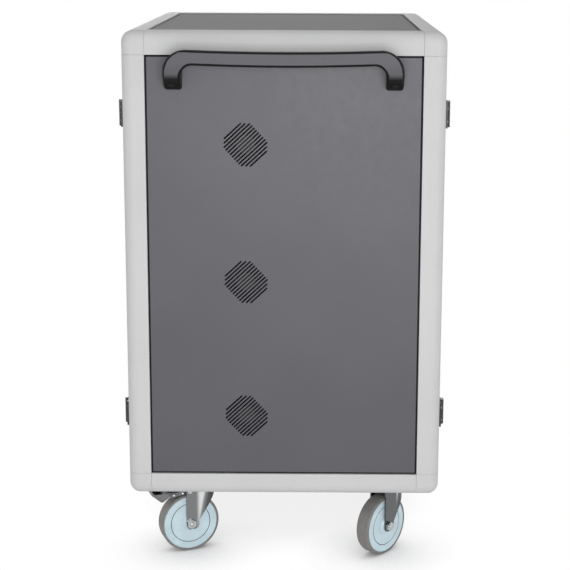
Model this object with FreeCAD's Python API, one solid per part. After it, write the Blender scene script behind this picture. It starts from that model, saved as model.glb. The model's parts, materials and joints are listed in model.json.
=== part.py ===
import FreeCAD, Part
import math
import os

from FreeCAD import Rotation, Vector

# A mobile charging cabinet for notebooks. Millimetres, +Z up, origin on the floor under its centre.
# +X is the end with the fan vents, -Y is the side of the device door, +Y the side of the service door.

# Shared by many pieces: radial clearance of a pin in its bore, how far a cutter runs past a face or fused
# pieces run into each other, and the share of a full round that keeps a short straight edge
PIN_CLEARANCE = 0.05
OVERLAP = 1.0
FULL_ROUND = 0.98

# Overall frame
BODY_LENGTH = 780.0
BODY_DEPTH = 635.0
BODY_HEIGHT = 946.0
CASTOR_HEIGHT = 152.0

# Frame profile: a hollow bar with one round edge, and lips that the panels and doors rest on
PROFILE = 46.0
PROFILE_RADIUS = 22.0
PROFILE_WALL = 2.5
PROFILE_EDGE = 1.2
LIP_LENGTH = 10.0
LIP_SHEET = 2.5
LIP_TRIM = 0.5
SPIGOT_LENGTH = 24.0
SPIGOT_CLEARANCE = 0.5
SEAM_GAP = 0.4

# Sheet metal panels
SHEET = 1.5
PANEL_RECESS = 2.0
PANEL_DEPTH = 16.0
PANEL_GAP = 3.5
PANEL_CORNER = 2.0
PANEL_EDGE = 1.2
SEAL_RECESS = 6.0

# Doors and their stop lips
DOOR_DEPTH = 20.0
DOOR_GAP = 3.0
DOOR_STOP_GAP = 0.5

# Fan vents in the end panels, measured down from the top of the frame
VENT_Y = -75.5
VENT_DROPS = (221.0, 497.0, 776.0)
VENT_SLOTS = 13
VENT_PITCH = 6.2
VENT_SLOT_WIDTH = 3.3
VENT_REACH = 36.0
VENT_DIAGONAL = 60.0
VENT_ANGLE = 43.0

# Fans
FAN_SIZE = 92.0
FAN_DEPTH = 25.0
FAN_BORE = 87.0
FAN_CORNER = 5.0
FAN_HUB = 36.0
FAN_BASE = 6.0
FAN_STRUT = 5.0
FAN_BLADES = 7
FAN_BLADE_SHEET = 1.6
FAN_BLADE_ANGLES = (52.0, 34.0)
FAN_SHAFT = 5.0
FAN_TIP_GAP = 1.5
FAN_ROTOR_DEPTH = 15.0
FAN_RUNNING_GAP = 0.3
FAN_BLADE_SHARE = 0.9

# Push handle, measured down from the top of the frame and out from the end panel
HANDLE_SPAN = 463.0
HANDLE_DROP = 32.5
HANDLE_HEIGHT = 80.5
HANDLE_BAR = 29.5
HANDLE_LEG = 33.5
HANDLE_REACH = 58.0
HANDLE_THICKNESS = 18.0
HANDLE_FOOT = 36.0
HANDLE_BOW = 3.5
HANDLE_OUTER_RADIUS = 44.0
HANDLE_INNER_RADIUS = 24.0
HANDLE_EDGE = 5.0

# Inside: three shelves, a bulkhead behind them, and slots for the devices
SHELF_COUNT = 3
SHELF_STEP = 293.0
SHELF_EDGE = 20.0
SHELF_FRONT_GAP = 3.0
BULKHEAD_Y = 130.0
CABLE_HOLE = 26.0
CABLE_HOLE_RISE = 210.0
SLOTS_PER_SHELF = 8
DIVIDER_HEIGHT = 150.0
DIVIDER_DEPTH = 340.0
DIVIDER_FRONT = 30.0
DIVIDER_RADIUS = 40.0

# Power equipment on the back of the bulkhead
STRIP_END_GAP = 19.0
STRIP_UNIT_GAP = 45.0
STRIP_HEIGHT = 56.0
STRIP_DEPTH = 44.0
STRIP_RISE = 90.0
STRIP_CORNER = 4.0
CHANNEL_DEPTH = 16.0
CHANNEL_RIM = 7.0
SOCKET_MARGIN = 15.0
SOCKET_COUNT = 8
SOCKET_DIAMETER = 36.0
SOCKET_RISE = 3.0
UNIT_LENGTH = 170.0
UNIT_HEIGHT = 130.0
UNIT_DEPTH = 62.0
UNIT_END_GAP = 24.0
UNIT_MIDDLE_DROP = 495.0
ROCKER_WIDTH = 20.0
ROCKER_HEIGHT = 28.0
ROCKER_DEPTH = 8.0
ROCKER_CLEARANCE = 0.8
ROCKER_TILT = 6.0
ROCKER_OFFSET = 50.0
ROCKER_HOLLOW = 0.6
ROCKER_EDGE = 1.0
ROCKER_PIN = 5.0
ROCKER_PIN_END = 1.6
INLET_WIDTH = 48.0
INLET_HEIGHT = 28.0
INLET_DEPTH = 30.0
INLET_FLANGE = 6.0
INLET_FLANGE_SHEET = 3.0
INLET_CAVITY = (32.0, 18.0, 20.0)
INLET_CORNER = 2.0
INLET_INSET = 66.5
INLET_RISE = 90.0

# Door hinges: two on each door, centred this far down from the top of the frame
HINGE_DROPS = (164.0, 779.0)
HINGE_HEIGHT = 51.0
HINGE_RADIUS = 5.5
HINGE_STANDOFF = 5.0
HINGE_PIN = 5.0
HINGE_LEAF_SHEET = 4.0
HINGE_LEAF_WIDTH = 18.0
HINGE_LEAF_GAP = 1.0
HINGE_SPLIT_GAP = 0.4
HINGE_EDGE = 1.0

# Door locks: a plate, a swing lever and the cam on its spindle
LOCK_EDGE = 34.0
LOCK_PLATE_WIDTH = 34.0
LOCK_PLATE_HEIGHT = 150.0
LOCK_PLATE_DEPTH = 5.0
LOCK_PLATE_CORNER = 10.0
LOCK_SPINDLE = 12.0
LOCK_RUNNING_GAP = 0.4
LEVER_BOSS = 24.0
LEVER_BOSS_DEPTH = 9.0
LEVER_LENGTH = 96.0
LEVER_WIDTH = 19.0
LEVER_DEPTH = 11.0
LEVER_EDGE = 2.5
CAM_LENGTH = 38.0
CAM_WIDTH = 18.0
CAM_SHEET = 3.0
CAM_CORNER = 6.0
LOCK_DROP = 470.0
LOCK_PIVOT_RISE = 50.0

# Castors
WHEEL_DIAMETER = 125.0
TYRE_WIDTH = 32.0
TYRE_THICKNESS = 4.5
TYRE_EDGE = 4.0
TYRE_FIT = 0.05
CORE_FACE = 15.0
CORE_GROOVE_RADIUS = 43.0
CORE_GROOVE = 1.4
CORE_HUB_RADIUS = 14.0
AXLE_DIAMETER = 10.0
AXLE_HEX = 17.0
AXLE_HEX_DEPTH = 6.0
AXLE_TAIL = 2.0
HUB_SIDE_GAP = 0.5
CASTOR_TRAIL = 30.0
FORK_SIDE_GAP = 2.5
FORK_SHEET = 3.0
FORK_CROWN = 3.5
FORK_BACK = 10.0
FORK_FRONT = 5.0
FORK_FOOT = 10.0
FORK_FOOT_FRONT = 17.0
FORK_FOOT_DROP = 13.0
FORK_FRONT_DROP = 12.0
RACE_DIAMETER = 56.0
RACE_DEPTH = 6.0
RACE_GAP = 0.3
KING_PIN = 12.0
KING_NUT = 20.0
KING_NUT_DEPTH = 4.6
PLATE_LENGTH = 105.0
PLATE_WIDTH = 85.0
PLATE_SHEET = 4.0
PLATE_CORNER = 8.0
PLATE_HOLE = 9.0
PLATE_HOLE_PITCH = (80.0, 60.0)
BOLT_HEX = 13.0
BOLT_HEAD = 5.5
BOLT_SHANK = 8.0
CASTOR_INSET = 95.0
BRAKED_INSET = 141.5
PLAIN_INSET = 94.5
# How far each wheel's axle is turned from the X axis as the cabinet stands
CASTOR_TURNS = {"front_right": 21.0, "rear_right": 48.5, "front_left": 30.0, "rear_left": 40.0}

# Brake pedals, on the two castors under the device door
PEDAL_PIVOT_TRAIL = 32.0
PEDAL_PIVOT_RISE = 133.5
PEDAL_HUB_RADIUS = 4.2
PEDAL_PIN = 5.0
PEDAL_WIDTH = 30.0
PEDAL_SHEET = 3.4
PEDAL_REACH = 78.0
PEDAL_STEP = (38.0, 59.0)
PEDAL_FALL = (4.0, 17.0)
PEDAL_LIP_RISE = 18.0
PEDAL_BEND_SHEET = 4.8
PEDAL_BENDS = (8.0, 3.0, 6.0)

# Values that follow from the sizes above
X_AXIS = Vector(1, 0, 0)
Y_AXIS = Vector(0, 1, 0)
Z_AXIS = Vector(0, 0, 1)
ORIGIN = Vector(0, 0, 0)
END_X = BODY_LENGTH / 2
SIDE_Y = BODY_DEPTH / 2
BASE_Z = CASTOR_HEIGHT
TOP_Z = CASTOR_HEIGHT + BODY_HEIGHT
OPEN_X = END_X - PROFILE
OPEN_Y = SIDE_Y - PROFILE
OPEN_BOTTOM = BASE_Z + PROFILE
OPEN_TOP = TOP_Z - PROFILE
PANEL_FACE_X = END_X - PANEL_RECESS
PANEL_LIP = PANEL_RECESS + PANEL_DEPTH
DOOR_FACE_Y = SIDE_Y - PANEL_RECESS
DOOR_BACK_Y = DOOR_FACE_Y - DOOR_DEPTH
DOOR_LIP = PANEL_RECESS + DOOR_DEPTH + DOOR_STOP_GAP
WHEEL_RADIUS = WHEEL_DIAMETER / 2
CASTOR_X = END_X - CASTOR_INSET
BRAKED_Y = BRAKED_INSET - SIDE_Y
PLAIN_Y = SIDE_Y - PLAIN_INSET
INLET_Y = OPEN_Y - INLET_INSET
UNIT_MIDDLE_X = UNIT_END_GAP + UNIT_LENGTH / 2 - OPEN_X
STRIP_LENGTH = 2 * OPEN_X - UNIT_END_GAP - UNIT_LENGTH - STRIP_UNIT_GAP - STRIP_END_GAP
STRIP_MIDDLE_X = OPEN_X - STRIP_END_GAP - STRIP_LENGTH / 2
SOCKET_PITCH = (STRIP_LENGTH - 2 * SOCKET_MARGIN) / SOCKET_COUNT


def box(x_range, y_range, z_range):
    """Upright box between two values on each axis."""
    low = Vector(min(x_range), min(y_range), min(z_range))
    high = Vector(max(x_range), max(y_range), max(z_range))
    return Part.makeBox(high.x - low.x, high.y - low.y, high.z - low.z, low)


def plane(origin, axis_u, axis_v):
    """Function that puts flat (u, v) coordinates into space."""
    return lambda u, v: origin + axis_u * u + axis_v * v


def rounded_wire(corners, place):
    """Closed outline through (u, v, radius) corners, each rounded by its own radius."""
    turns = []
    for index, (u, v, radius) in enumerate(corners):
        corner = Vector(u, v, 0)
        if radius == 0:
            turns.append((corner, None, corner))
            continue
        previous = corners[index - 1]
        following = corners[(index + 1) % len(corners)]
        back = (Vector(previous[0], previous[1], 0) - corner).normalize()
        ahead = (Vector(following[0], following[1], 0) - corner).normalize()
        half_angle = back.getAngle(ahead) / 2
        reach = radius / math.tan(half_angle)
        middle = (back + ahead).normalize() * (radius / math.sin(half_angle) - radius)
        turns.append((corner + back * reach, corner + middle, corner + ahead * reach))
    edges = []
    for index, (start, middle, end) in enumerate(turns):
        if middle is not None:
            points = [place(point.x, point.y) for point in (start, middle, end)]
            edges.append(Part.Arc(*points).toShape())
        next_start = turns[(index + 1) % len(turns)][0]
        if end.distanceToPoint(next_start) > 1e-6:
            edges.append(Part.LineSegment(place(end.x, end.y), place(next_start.x, next_start.y)).toShape())
    return Part.Wire(edges)


def swept(wires, sweep):
    """Solid made by sweeping a flat outline, with any holes, along a straight line."""
    solids = [Part.Face(wire).extrude(sweep) for wire in wires]
    for solid in solids:
        if solid.Volume < 0:
            solid.reverse()
    if len(solids) == 1:
        return solids[0]
    return solids[0].cut(solids[1:])


def prism(corners, place, sweep):
    """Solid with a rounded outline."""
    return swept([rounded_wire(corners, place)], sweep)


def rectangle(u_range, v_range, radius=0.0):
    """Corners of a rectangle, all rounded alike."""
    u0, u1 = u_range
    v0, v1 = v_range
    return [(u0, v0, radius), (u1, v0, radius), (u1, v1, radius), (u0, v1, radius)]


def turned(profile, centre, axis, across):
    """Solid of revolution: profile holds (distance along the axis, radius) points."""
    points = [centre + axis * along + across * radius for along, radius in profile]
    face = Part.Face(Part.makePolygon(points + points[:1]))
    solid = face.revolve(centre, axis, 360)
    if solid.Volume < 0:
        solid.reverse()
    return solid


def rod(diameter, start, end):
    """Round bar between two points."""
    line = end - start
    return Part.makeCylinder(diameter / 2, line.Length, start, line)


def hexagon(across_flats, start, end, side):
    """Hexagonal bar between two points, one corner towards side."""
    axis = end - start
    arm = Vector(side).normalize() * (across_flats / math.sqrt(3))
    points = [start + Rotation(axis, 60 * step).multVec(arm) for step in range(7)]
    return swept([Part.makePolygon(points)], axis)


def edges_on(solid, origin, normal):
    """Edges that lie flat in a plane."""
    def in_plane(edge):
        samples = edge.discretize(3)
        return all(abs((point - origin).dot(normal)) < 1e-4 for point in samples)
    return [edge for edge in solid.Edges if in_plane(edge)]


def mirror_x(solid):
    """Copy on the other end of the cabinet."""
    return solid.mirror(ORIGIN, X_AXIS)


def mirror_y(solid):
    """Copy on the other side of the cabinet."""
    return solid.mirror(ORIGIN, Y_AXIS)


# Frame

def frame_member(corner, inward_u, inward_v, along, length, lip_u, lip_v, trim):
    """Hollow bar between two corner blocks, with lips on its inner faces. corner starts its round edge."""
    corner = corner + along * SEAM_GAP
    length = length - 2 * SEAM_GAP
    place = plane(corner, inward_u, inward_v)
    outer = rectangle((0, PROFILE), (0, PROFILE), PROFILE_EDGE)
    outer[0] = (0, 0, PROFILE_RADIUS)
    inside = PROFILE - PROFILE_WALL
    chamber = rectangle((PROFILE_WALL, inside), (PROFILE_WALL, inside))
    chamber[0] = (PROFILE_WALL, PROFILE_WALL, PROFILE_RADIUS - PROFILE_WALL)
    bar = swept([rounded_wire(outer, place), rounded_wire(chamber, place)], along * length)
    lip_start = plane(corner + along * trim, inward_u, inward_v)
    lip_sweep = along * (length - 2 * trim)
    lip_range = (PROFILE, PROFILE + LIP_LENGTH)
    lip_at_u = prism(rectangle((lip_u, lip_u + LIP_SHEET), lip_range), lip_start, lip_sweep)
    lip_at_v = prism(rectangle(lip_range, (lip_v, lip_v + LIP_SHEET)), lip_start, lip_sweep)
    return bar.fuse([lip_at_u, lip_at_v]).removeSplitter()


def post(side_x, side_y):
    """Upright between two corner blocks."""
    corner = Vector(side_x * END_X, side_y * SIDE_Y, OPEN_BOTTOM)
    length = OPEN_TOP - OPEN_BOTTOM
    return frame_member(corner, X_AXIS * -side_x, Y_AXIS * -side_y, Z_AXIS, length, PANEL_LIP, DOOR_LIP, 0.0)


def long_rail(side_y, height, inward):
    """Rail along one long side, at the top or bottom."""
    corner = Vector(-OPEN_X, side_y * SIDE_Y, height)
    trim = LIP_LENGTH + LIP_TRIM
    return frame_member(corner, inward, Y_AXIS * -side_y, X_AXIS, 2 * OPEN_X, PANEL_LIP, DOOR_LIP, trim)


def end_rail(side_x, height, inward):
    """Rail across one end, at the top or bottom."""
    corner = Vector(side_x * END_X, -OPEN_Y, height)
    trim = LIP_LENGTH + LIP_TRIM
    return frame_member(corner, inward, X_AXIS * -side_x, Y_AXIS, 2 * OPEN_Y, PANEL_LIP, PANEL_LIP, trim)


def corner_block():
    """Ball-cornered block with three spigots that plug into the bars, its outer corner at the origin."""
    block = Part.makeBox(PROFILE, PROFILE, PROFILE)
    outer_edges = [edge for edge in block.Edges if any(v.Point.Length < 1e-6 for v in edge.Vertexes)]
    block = block.makeFillet(PROFILE_RADIUS, outer_edges)
    plug_end = PROFILE - PROFILE_WALL - SPIGOT_CLEARANCE
    plug_start = PROFILE_RADIUS - (PROFILE_RADIUS - PROFILE_WALL - SPIGOT_CLEARANCE) * math.sqrt(0.5)
    plug = (plug_start, plug_end)
    reach = (PROFILE - OVERLAP, PROFILE + SPIGOT_LENGTH)
    spigots = [box(reach, plug, plug), box(plug, reach, plug), box(plug, plug, reach)]
    return block.fuse(spigots).removeSplitter()


def corner_blocks():
    """One block in each corner of the frame."""
    blocks = []
    for side_x in (-1, 1):
        for side_y in (-1, 1):
            for height, flip in ((BASE_Z, False), (TOP_Z, True)):
                block = corner_block()
                if side_x > 0:
                    block = block.mirror(ORIGIN, X_AXIS)
                if side_y > 0:
                    block = block.mirror(ORIGIN, Y_AXIS)
                if flip:
                    block = block.mirror(ORIGIN, Z_AXIS)
                block.translate(Vector(side_x * END_X, side_y * SIDE_Y, height))
                blocks.append(block)
    return blocks


# Panels

def tray(place, inward, u_range, v_range, depth):
    """Sheet panel with its edges folded back, its outer face in the plane of place."""
    outer = prism(rectangle(u_range, v_range, PANEL_CORNER), place, inward * depth)
    face_origin = place(u_range[0], v_range[0])
    outer = outer.makeFillet(PANEL_EDGE, edges_on(outer, face_origin, inward))
    inner_u = (u_range[0] + SHEET, u_range[1] - SHEET)
    inner_v = (v_range[0] + SHEET, v_range[1] - SHEET)
    hollow = prism(rectangle(inner_u, inner_v), place, inward * depth)
    hollow.translate(inward * SHEET)
    return outer.cut(hollow)


def vent_slots(drop):
    """Slanted slots of one vent, cut through the end panel; their ends make an octagon."""
    along = Vector(0, math.cos(math.radians(VENT_ANGLE)), math.sin(math.radians(VENT_ANGLE)))
    across = Vector(0, -along.z, along.y)
    centre = Vector(PANEL_FACE_X + SHEET, VENT_Y, TOP_Z - drop)
    place = plane(centre, along, across)
    slots = []
    for index in range(VENT_SLOTS):
        offset = (index - (VENT_SLOTS - 1) / 2) * VENT_PITCH
        half = min(VENT_REACH, VENT_DIAGONAL - abs(offset))
        sides = (offset - VENT_SLOT_WIDTH / 2, offset + VENT_SLOT_WIDTH / 2)
        slots.append(prism(rectangle((-half, half), sides), place, X_AXIS * (-3 * SHEET)))
    return slots


def end_panel():
    """Panel of the +X end, with three vents."""
    place = plane(Vector(PANEL_FACE_X, 0, 0), Y_AXIS, Z_AXIS)
    width = (-OPEN_Y + PANEL_GAP, OPEN_Y - PANEL_GAP)
    height = (OPEN_BOTTOM + PANEL_GAP, OPEN_TOP - PANEL_GAP)
    panel = tray(place, X_AXIS * -1, width, height, PANEL_DEPTH)
    slots = []
    for drop in VENT_DROPS:
        slots.extend(vent_slots(drop))
    return panel.cut(Part.makeCompound(slots))


def inlet_middle():
    """Centre of the mains inlet on the outer face of the -X end panel."""
    return Vector(-PANEL_FACE_X, INLET_Y, OPEN_BOTTOM + INLET_RISE)


def inlet_range(grow=0.0):
    """Y and Z limits of the inlet housing."""
    middle = inlet_middle()
    half_width = INLET_WIDTH / 2 + grow
    half_height = INLET_HEIGHT / 2 + grow
    return (middle.y - half_width, middle.y + half_width), (middle.z - half_height, middle.z + half_height)


def far_end_panel():
    """Panel of the -X end: the same vents, and the cut-out of the mains inlet."""
    y_range, z_range = inlet_range()
    cut_out = box((-PANEL_FACE_X - SHEET, -PANEL_FACE_X + 2 * SHEET), y_range, z_range)
    return mirror_x(end_panel()).cut(cut_out)


def level_panel(height, inward, depth):
    """Top or floor panel, its folded edges against the lips of the rails."""
    place = plane(Vector(0, 0, height), X_AXIS, Y_AXIS)
    length = (-OPEN_X + PANEL_GAP, OPEN_X - PANEL_GAP)
    width = (-OPEN_Y + PANEL_GAP, OPEN_Y - PANEL_GAP)
    return tray(place, inward, length, width, depth)


def seal_ring(place, inward, u_range, v_range):
    """Rubber strip that fills the joint between a panel and the frame, resting on the lips."""
    inner_u = (u_range[0] + PANEL_GAP, u_range[1] - PANEL_GAP)
    inner_v = (v_range[0] + PANEL_GAP, v_range[1] - PANEL_GAP)
    outside = rounded_wire(rectangle(u_range, v_range), place)
    inside = rounded_wire(rectangle(inner_u, inner_v, PANEL_CORNER), place)
    return swept([outside, inside], inward * (PANEL_LIP - SEAL_RECESS))


def panel_seals():
    """Strips round both end panels and the top panel."""
    end_place = plane(Vector(END_X - SEAL_RECESS, 0, 0), Y_AXIS, Z_AXIS)
    end_seal = seal_ring(end_place, X_AXIS * -1, (-OPEN_Y, OPEN_Y), (OPEN_BOTTOM, OPEN_TOP))
    top_place = plane(Vector(0, 0, TOP_Z - SEAL_RECESS), X_AXIS, Y_AXIS)
    top_seal = seal_ring(top_place, Z_AXIS * -1, (-OPEN_X, OPEN_X), (-OPEN_Y, OPEN_Y))
    return [end_seal, mirror_x(end_seal), top_seal]


# Push handle

def handle_outline(sweep):
    """Front view of the handle: a bowed bar on two legs with large round corners."""
    half = HANDLE_SPAN / 2
    top = TOP_Z - HANDLE_DROP
    bottom = top - HANDLE_HEIGHT
    under = top - HANDLE_BAR
    inner = half - HANDLE_LEG
    diagonal = 1 - math.sqrt(0.5)

    def at(y, z):
        return Vector(PANEL_FACE_X, y, z)

    def round_corner(side, reach, level, radius):
        start = at(side * reach, level - radius)
        middle = at(side * (reach - radius * diagonal), level - radius * diagonal)
        return start, middle, at(side * (reach - radius), level)

    def line(start, end):
        return Part.LineSegment(start, end).toShape()

    outer_left = round_corner(-1, half, top, HANDLE_OUTER_RADIUS)
    outer_right = round_corner(1, half, top, HANDLE_OUTER_RADIUS)
    inner_left = round_corner(-1, inner, under, HANDLE_INNER_RADIUS)
    inner_right = round_corner(1, inner, under, HANDLE_INNER_RADIUS)
    edges = [
        line(at(-half, bottom), outer_left[0]),
        Part.Arc(*outer_left).toShape(),
        Part.Arc(outer_left[2], at(0, top - HANDLE_BOW), outer_right[2]).toShape(),
        Part.Arc(*reversed(outer_right)).toShape(),
        line(outer_right[0], at(half, bottom)),
        line(at(half, bottom), at(inner, bottom)),
        line(at(inner, bottom), inner_right[0]),
        Part.Arc(*inner_right).toShape(),
        Part.Arc(inner_right[2], at(0, under - HANDLE_BOW), inner_left[2]).toShape(),
        Part.Arc(*reversed(inner_left)).toShape(),
        line(inner_left[0], at(-inner, bottom)),
        line(at(-inner, bottom), at(-half, bottom)),
    ]
    return swept([Part.Wire(edges)], X_AXIS * sweep)


def handle_side():
    """Side view of the handle: upright bar whose legs sweep back to the panel in quarter circles."""
    top = TOP_Z - HANDLE_DROP
    bottom = top - HANDLE_HEIGHT
    back = HANDLE_REACH - HANDLE_THICKNESS
    foot_top = bottom + HANDLE_FOOT
    start = Vector(PANEL_FACE_X, -HANDLE_SPAN, 0)
    place = plane(start, X_AXIS, Z_AXIS)
    corners = [
        (0, bottom, 0),
        (HANDLE_REACH, bottom, HANDLE_REACH * FULL_ROUND),
        (HANDLE_REACH, top + HANDLE_BAR, 0),
        (back, top + HANDLE_BAR, 0),
        (back, foot_top, back * FULL_ROUND),
        (0, foot_top, 0),
    ]
    return prism(corners, place, Y_AXIS * (2 * HANDLE_SPAN))


def push_handle():
    """Handle of the +X end: where its front and side views meet, with round edges."""
    handle = handle_outline(HANDLE_REACH).common(handle_side())
    seat = set(edge.hashCode() for edge in edges_on(handle, Vector(PANEL_FACE_X, 0, 0), X_AXIS))
    free = [edge for edge in handle.Edges if edge.hashCode() not in seat]
    return handle.makeFillet(HANDLE_EDGE, free)


# Shelves, bulkhead and dividers

def shelf_top(level):
    """Height of a shelf's upper face; the lowest one stands on the bottom rails."""
    return OPEN_BOTTOM + SHELF_EDGE + level * SHELF_STEP


def shelf_front():
    """Front edge of the shelves, behind the closed door."""
    return -DOOR_BACK_Y + DOOR_STOP_GAP + LIP_SHEET + SHELF_FRONT_GAP


def shelf(level):
    """Sheet shelf between the posts, edges folded down, its back edge against the bulkhead."""
    place = plane(Vector(0, 0, shelf_top(level)), X_AXIS, Y_AXIS)
    return tray(place, Z_AXIS * -1, (-OPEN_X, OPEN_X), (shelf_front(), BULKHEAD_Y), SHELF_EDGE)


def bulkhead():
    """Upright sheet with cable holes between the two bays, standing on the lips of the end rails."""
    low = BASE_Z + PANEL_LIP + LIP_SHEET
    high = TOP_Z - PANEL_LIP - LIP_SHEET
    sheet = box((-OPEN_X, OPEN_X), (BULKHEAD_Y, BULKHEAD_Y + SHEET), (low, high))
    holes = []
    for level in range(SHELF_COUNT):
        for index in range(SLOTS_PER_SHELF):
            x = -OPEN_X + (index + 0.5) * slot_pitch()
            start = Vector(x, BULKHEAD_Y - OVERLAP, shelf_top(level) + CABLE_HOLE_RISE)
            holes.append(rod(CABLE_HOLE, start, start + Y_AXIS * (SHEET + 2 * OVERLAP)))
    return sheet.cut(holes)


def slot_pitch():
    """Distance between neighbouring dividers."""
    return 2 * OPEN_X / SLOTS_PER_SHELF


def dividers():
    """Upright plates that keep the devices apart, with round front corners."""
    plates = []
    front = shelf_front() + DIVIDER_FRONT
    for level in range(SHELF_COUNT):
        base = shelf_top(level)
        for index in range(1, SLOTS_PER_SHELF):
            x = -OPEN_X + index * slot_pitch() - SHEET / 2
            corners = rectangle((front, front + DIVIDER_DEPTH), (base, base + DIVIDER_HEIGHT))
            corners[3] = (front, base + DIVIDER_HEIGHT, DIVIDER_RADIUS)
            plates.append(prism(corners, plane(Vector(x, 0, 0), Y_AXIS, Z_AXIS), X_AXIS * SHEET))
    return plates


# Fans

def fan_middle(drop):
    """Centre of a fan's outer face, flat against the inside of the end panel."""
    return Vector(PANEL_FACE_X - SHEET, VENT_Y, TOP_Z - drop)


def fan_frame(drop):
    """Square fan housing with a round duct, four struts, a motor base and its shaft."""
    middle = fan_middle(drop)
    inward = X_AXIS * -1
    half = FAN_SIZE / 2
    place = plane(middle, Y_AXIS, Z_AXIS)
    housing = prism(rectangle((-half, half), (-half, half), FAN_CORNER), place, inward * FAN_DEPTH)
    housing = housing.cut(rod(FAN_BORE, middle - inward, middle + inward * (FAN_DEPTH + OVERLAP)))
    base_start = middle + inward * (FAN_DEPTH - FAN_BASE)
    base_end = middle + inward * FAN_DEPTH
    pieces = [rod(FAN_HUB, base_start, base_end)]
    strut = box((0, FAN_BORE / 2 + OVERLAP), (-FAN_STRUT / 2, FAN_STRUT / 2), (-FAN_BASE / 2, FAN_BASE / 2))
    strut.rotate(ORIGIN, Y_AXIS, 90)
    for quarter in range(4):
        arm = strut.copy()
        arm.rotate(ORIGIN, X_AXIS, 45 + 90 * quarter)
        arm.translate(middle + inward * (FAN_DEPTH - FAN_BASE / 2))
        pieces.append(arm)
    pieces.append(rod(FAN_SHAFT, base_start - inward * FAN_ROTOR_DEPTH / 2, base_end))
    return housing.fuse(pieces).removeSplitter()


def fan_rotor(drop):
    """Hub with twisted blades, running on the fan's shaft."""
    inward = X_AXIS * -1
    middle = fan_middle(drop)
    back = middle + inward * (FAN_DEPTH - FAN_BASE - FAN_RUNNING_GAP)
    front = back - inward * FAN_ROTOR_DEPTH
    rotor = rod(FAN_HUB, front, back)
    root = FAN_HUB / 2 - OVERLAP
    tip = FAN_BORE / 2 - FAN_TIP_GAP
    blade_middle = (front + back) * 0.5
    sections = []
    for radius, angle in zip((root, tip), FAN_BLADE_ANGLES):
        slope = math.radians(angle)
        chord = (FAN_ROTOR_DEPTH - FAN_BLADE_SHEET) / math.sin(slope) / 2
        direction = X_AXIS * math.sin(slope) + Y_AXIS * math.cos(slope)
        normal = X_AXIS * math.cos(slope) - Y_AXIS * math.sin(slope)
        place = plane(blade_middle + Z_AXIS * radius, direction, normal)
        half_sheet = FAN_BLADE_SHEET / 2
        reach = FAN_BLADE_SHARE * min(chord, radius)
        sections.append(rounded_wire(rectangle((-reach, reach), (-half_sheet, half_sheet)), place))
    blade = Part.makeLoft(sections, True, True)
    duct = rod(2 * tip, front, back)
    blade = blade.common(duct)
    blades = []
    for index in range(FAN_BLADES):
        copy = blade.copy()
        copy.rotate(middle, X_AXIS, 360 / FAN_BLADES * index)
        blades.append(copy)
    rotor = rotor.fuse(blades).removeSplitter()
    bore = FAN_SHAFT + 2 * PIN_CLEARANCE
    socket_end = back - inward * (FAN_ROTOR_DEPTH / 2 + OVERLAP)
    return rotor.cut(rod(bore, socket_end, back + inward))


# Power equipment

def socket_strips():
    """One row of sockets for each shelf, in an open channel, on the back of the bulkhead."""
    strips = []
    front = BULKHEAD_Y + SHEET
    back = front + STRIP_DEPTH
    floor = back - CHANNEL_DEPTH
    for level in range(SHELF_COUNT):
        middle = Vector(STRIP_MIDDLE_X, back, shelf_top(level) + STRIP_RISE)
        place = plane(middle, X_AXIS, Z_AXIS)
        half_length = STRIP_LENGTH / 2
        half_height = STRIP_HEIGHT / 2
        outline = rectangle((-half_length, half_length), (-half_height, half_height), STRIP_CORNER)
        strip = prism(outline, place, Y_AXIS * -STRIP_DEPTH)
        strip = strip.makeChamfer(PANEL_EDGE, edges_on(strip, middle, Y_AXIS))
        inner_length = half_length - CHANNEL_RIM
        inner_height = half_height - CHANNEL_RIM
        outline = rectangle((-inner_length, inner_length), (-inner_height, inner_height), STRIP_CORNER)
        strip = strip.cut(prism(outline, place, Y_AXIS * -CHANNEL_DEPTH))
        sockets = []
        for index in range(SOCKET_COUNT):
            x = STRIP_MIDDLE_X + (index - (SOCKET_COUNT - 1) / 2) * SOCKET_PITCH
            seat = Vector(x, floor - OVERLAP, middle.z)
            sockets.append(rod(SOCKET_DIAMETER, seat, seat + Y_AXIS * (SOCKET_RISE + OVERLAP)))
        strips.append(strip.fuse(sockets).removeSplitter())
    return strips


def unit_face_y():
    """Outer face of the control unit."""
    return BULKHEAD_Y + SHEET + UNIT_DEPTH


def rocker_middle():
    """Pivot of the power switch, just inside the face of the control unit."""
    x = UNIT_MIDDLE_X - ROCKER_OFFSET
    return Vector(x, unit_face_y() - ROCKER_DEPTH / 4, TOP_Z - UNIT_MIDDLE_DROP)


def control_unit():
    """Charging controller: a box with a recess for its power switch and a bare display window."""
    half_length = UNIT_LENGTH / 2
    half_height = UNIT_HEIGHT / 2
    middle_z = TOP_Z - UNIT_MIDDLE_DROP
    x_range = (UNIT_MIDDLE_X - half_length, UNIT_MIDDLE_X + half_length)
    y_range = (BULKHEAD_Y + SHEET, unit_face_y())
    unit = box(x_range, y_range, (middle_z - half_height, middle_z + half_height))
    unit = unit.makeFillet(PANEL_CORNER, edges_on(unit, Vector(0, unit_face_y(), 0), Y_AXIS))
    pivot = rocker_middle()
    half_width = ROCKER_WIDTH / 2 + ROCKER_CLEARANCE
    half_rise = ROCKER_HEIGHT / 2 + ROCKER_CLEARANCE
    recess_y = (pivot.y - ROCKER_DEPTH, unit_face_y() + OVERLAP)
    recess_x = (pivot.x - half_width, pivot.x + half_width)
    recess = box(recess_x, recess_y, (pivot.z - half_rise, pivot.z + half_rise))
    pin_reach = X_AXIS * (half_width + ROCKER_PIN_END)
    pin_bore = rod(ROCKER_PIN + 2 * PIN_CLEARANCE, pivot - pin_reach, pivot + pin_reach)
    return unit.cut([recess, pin_bore])


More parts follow.
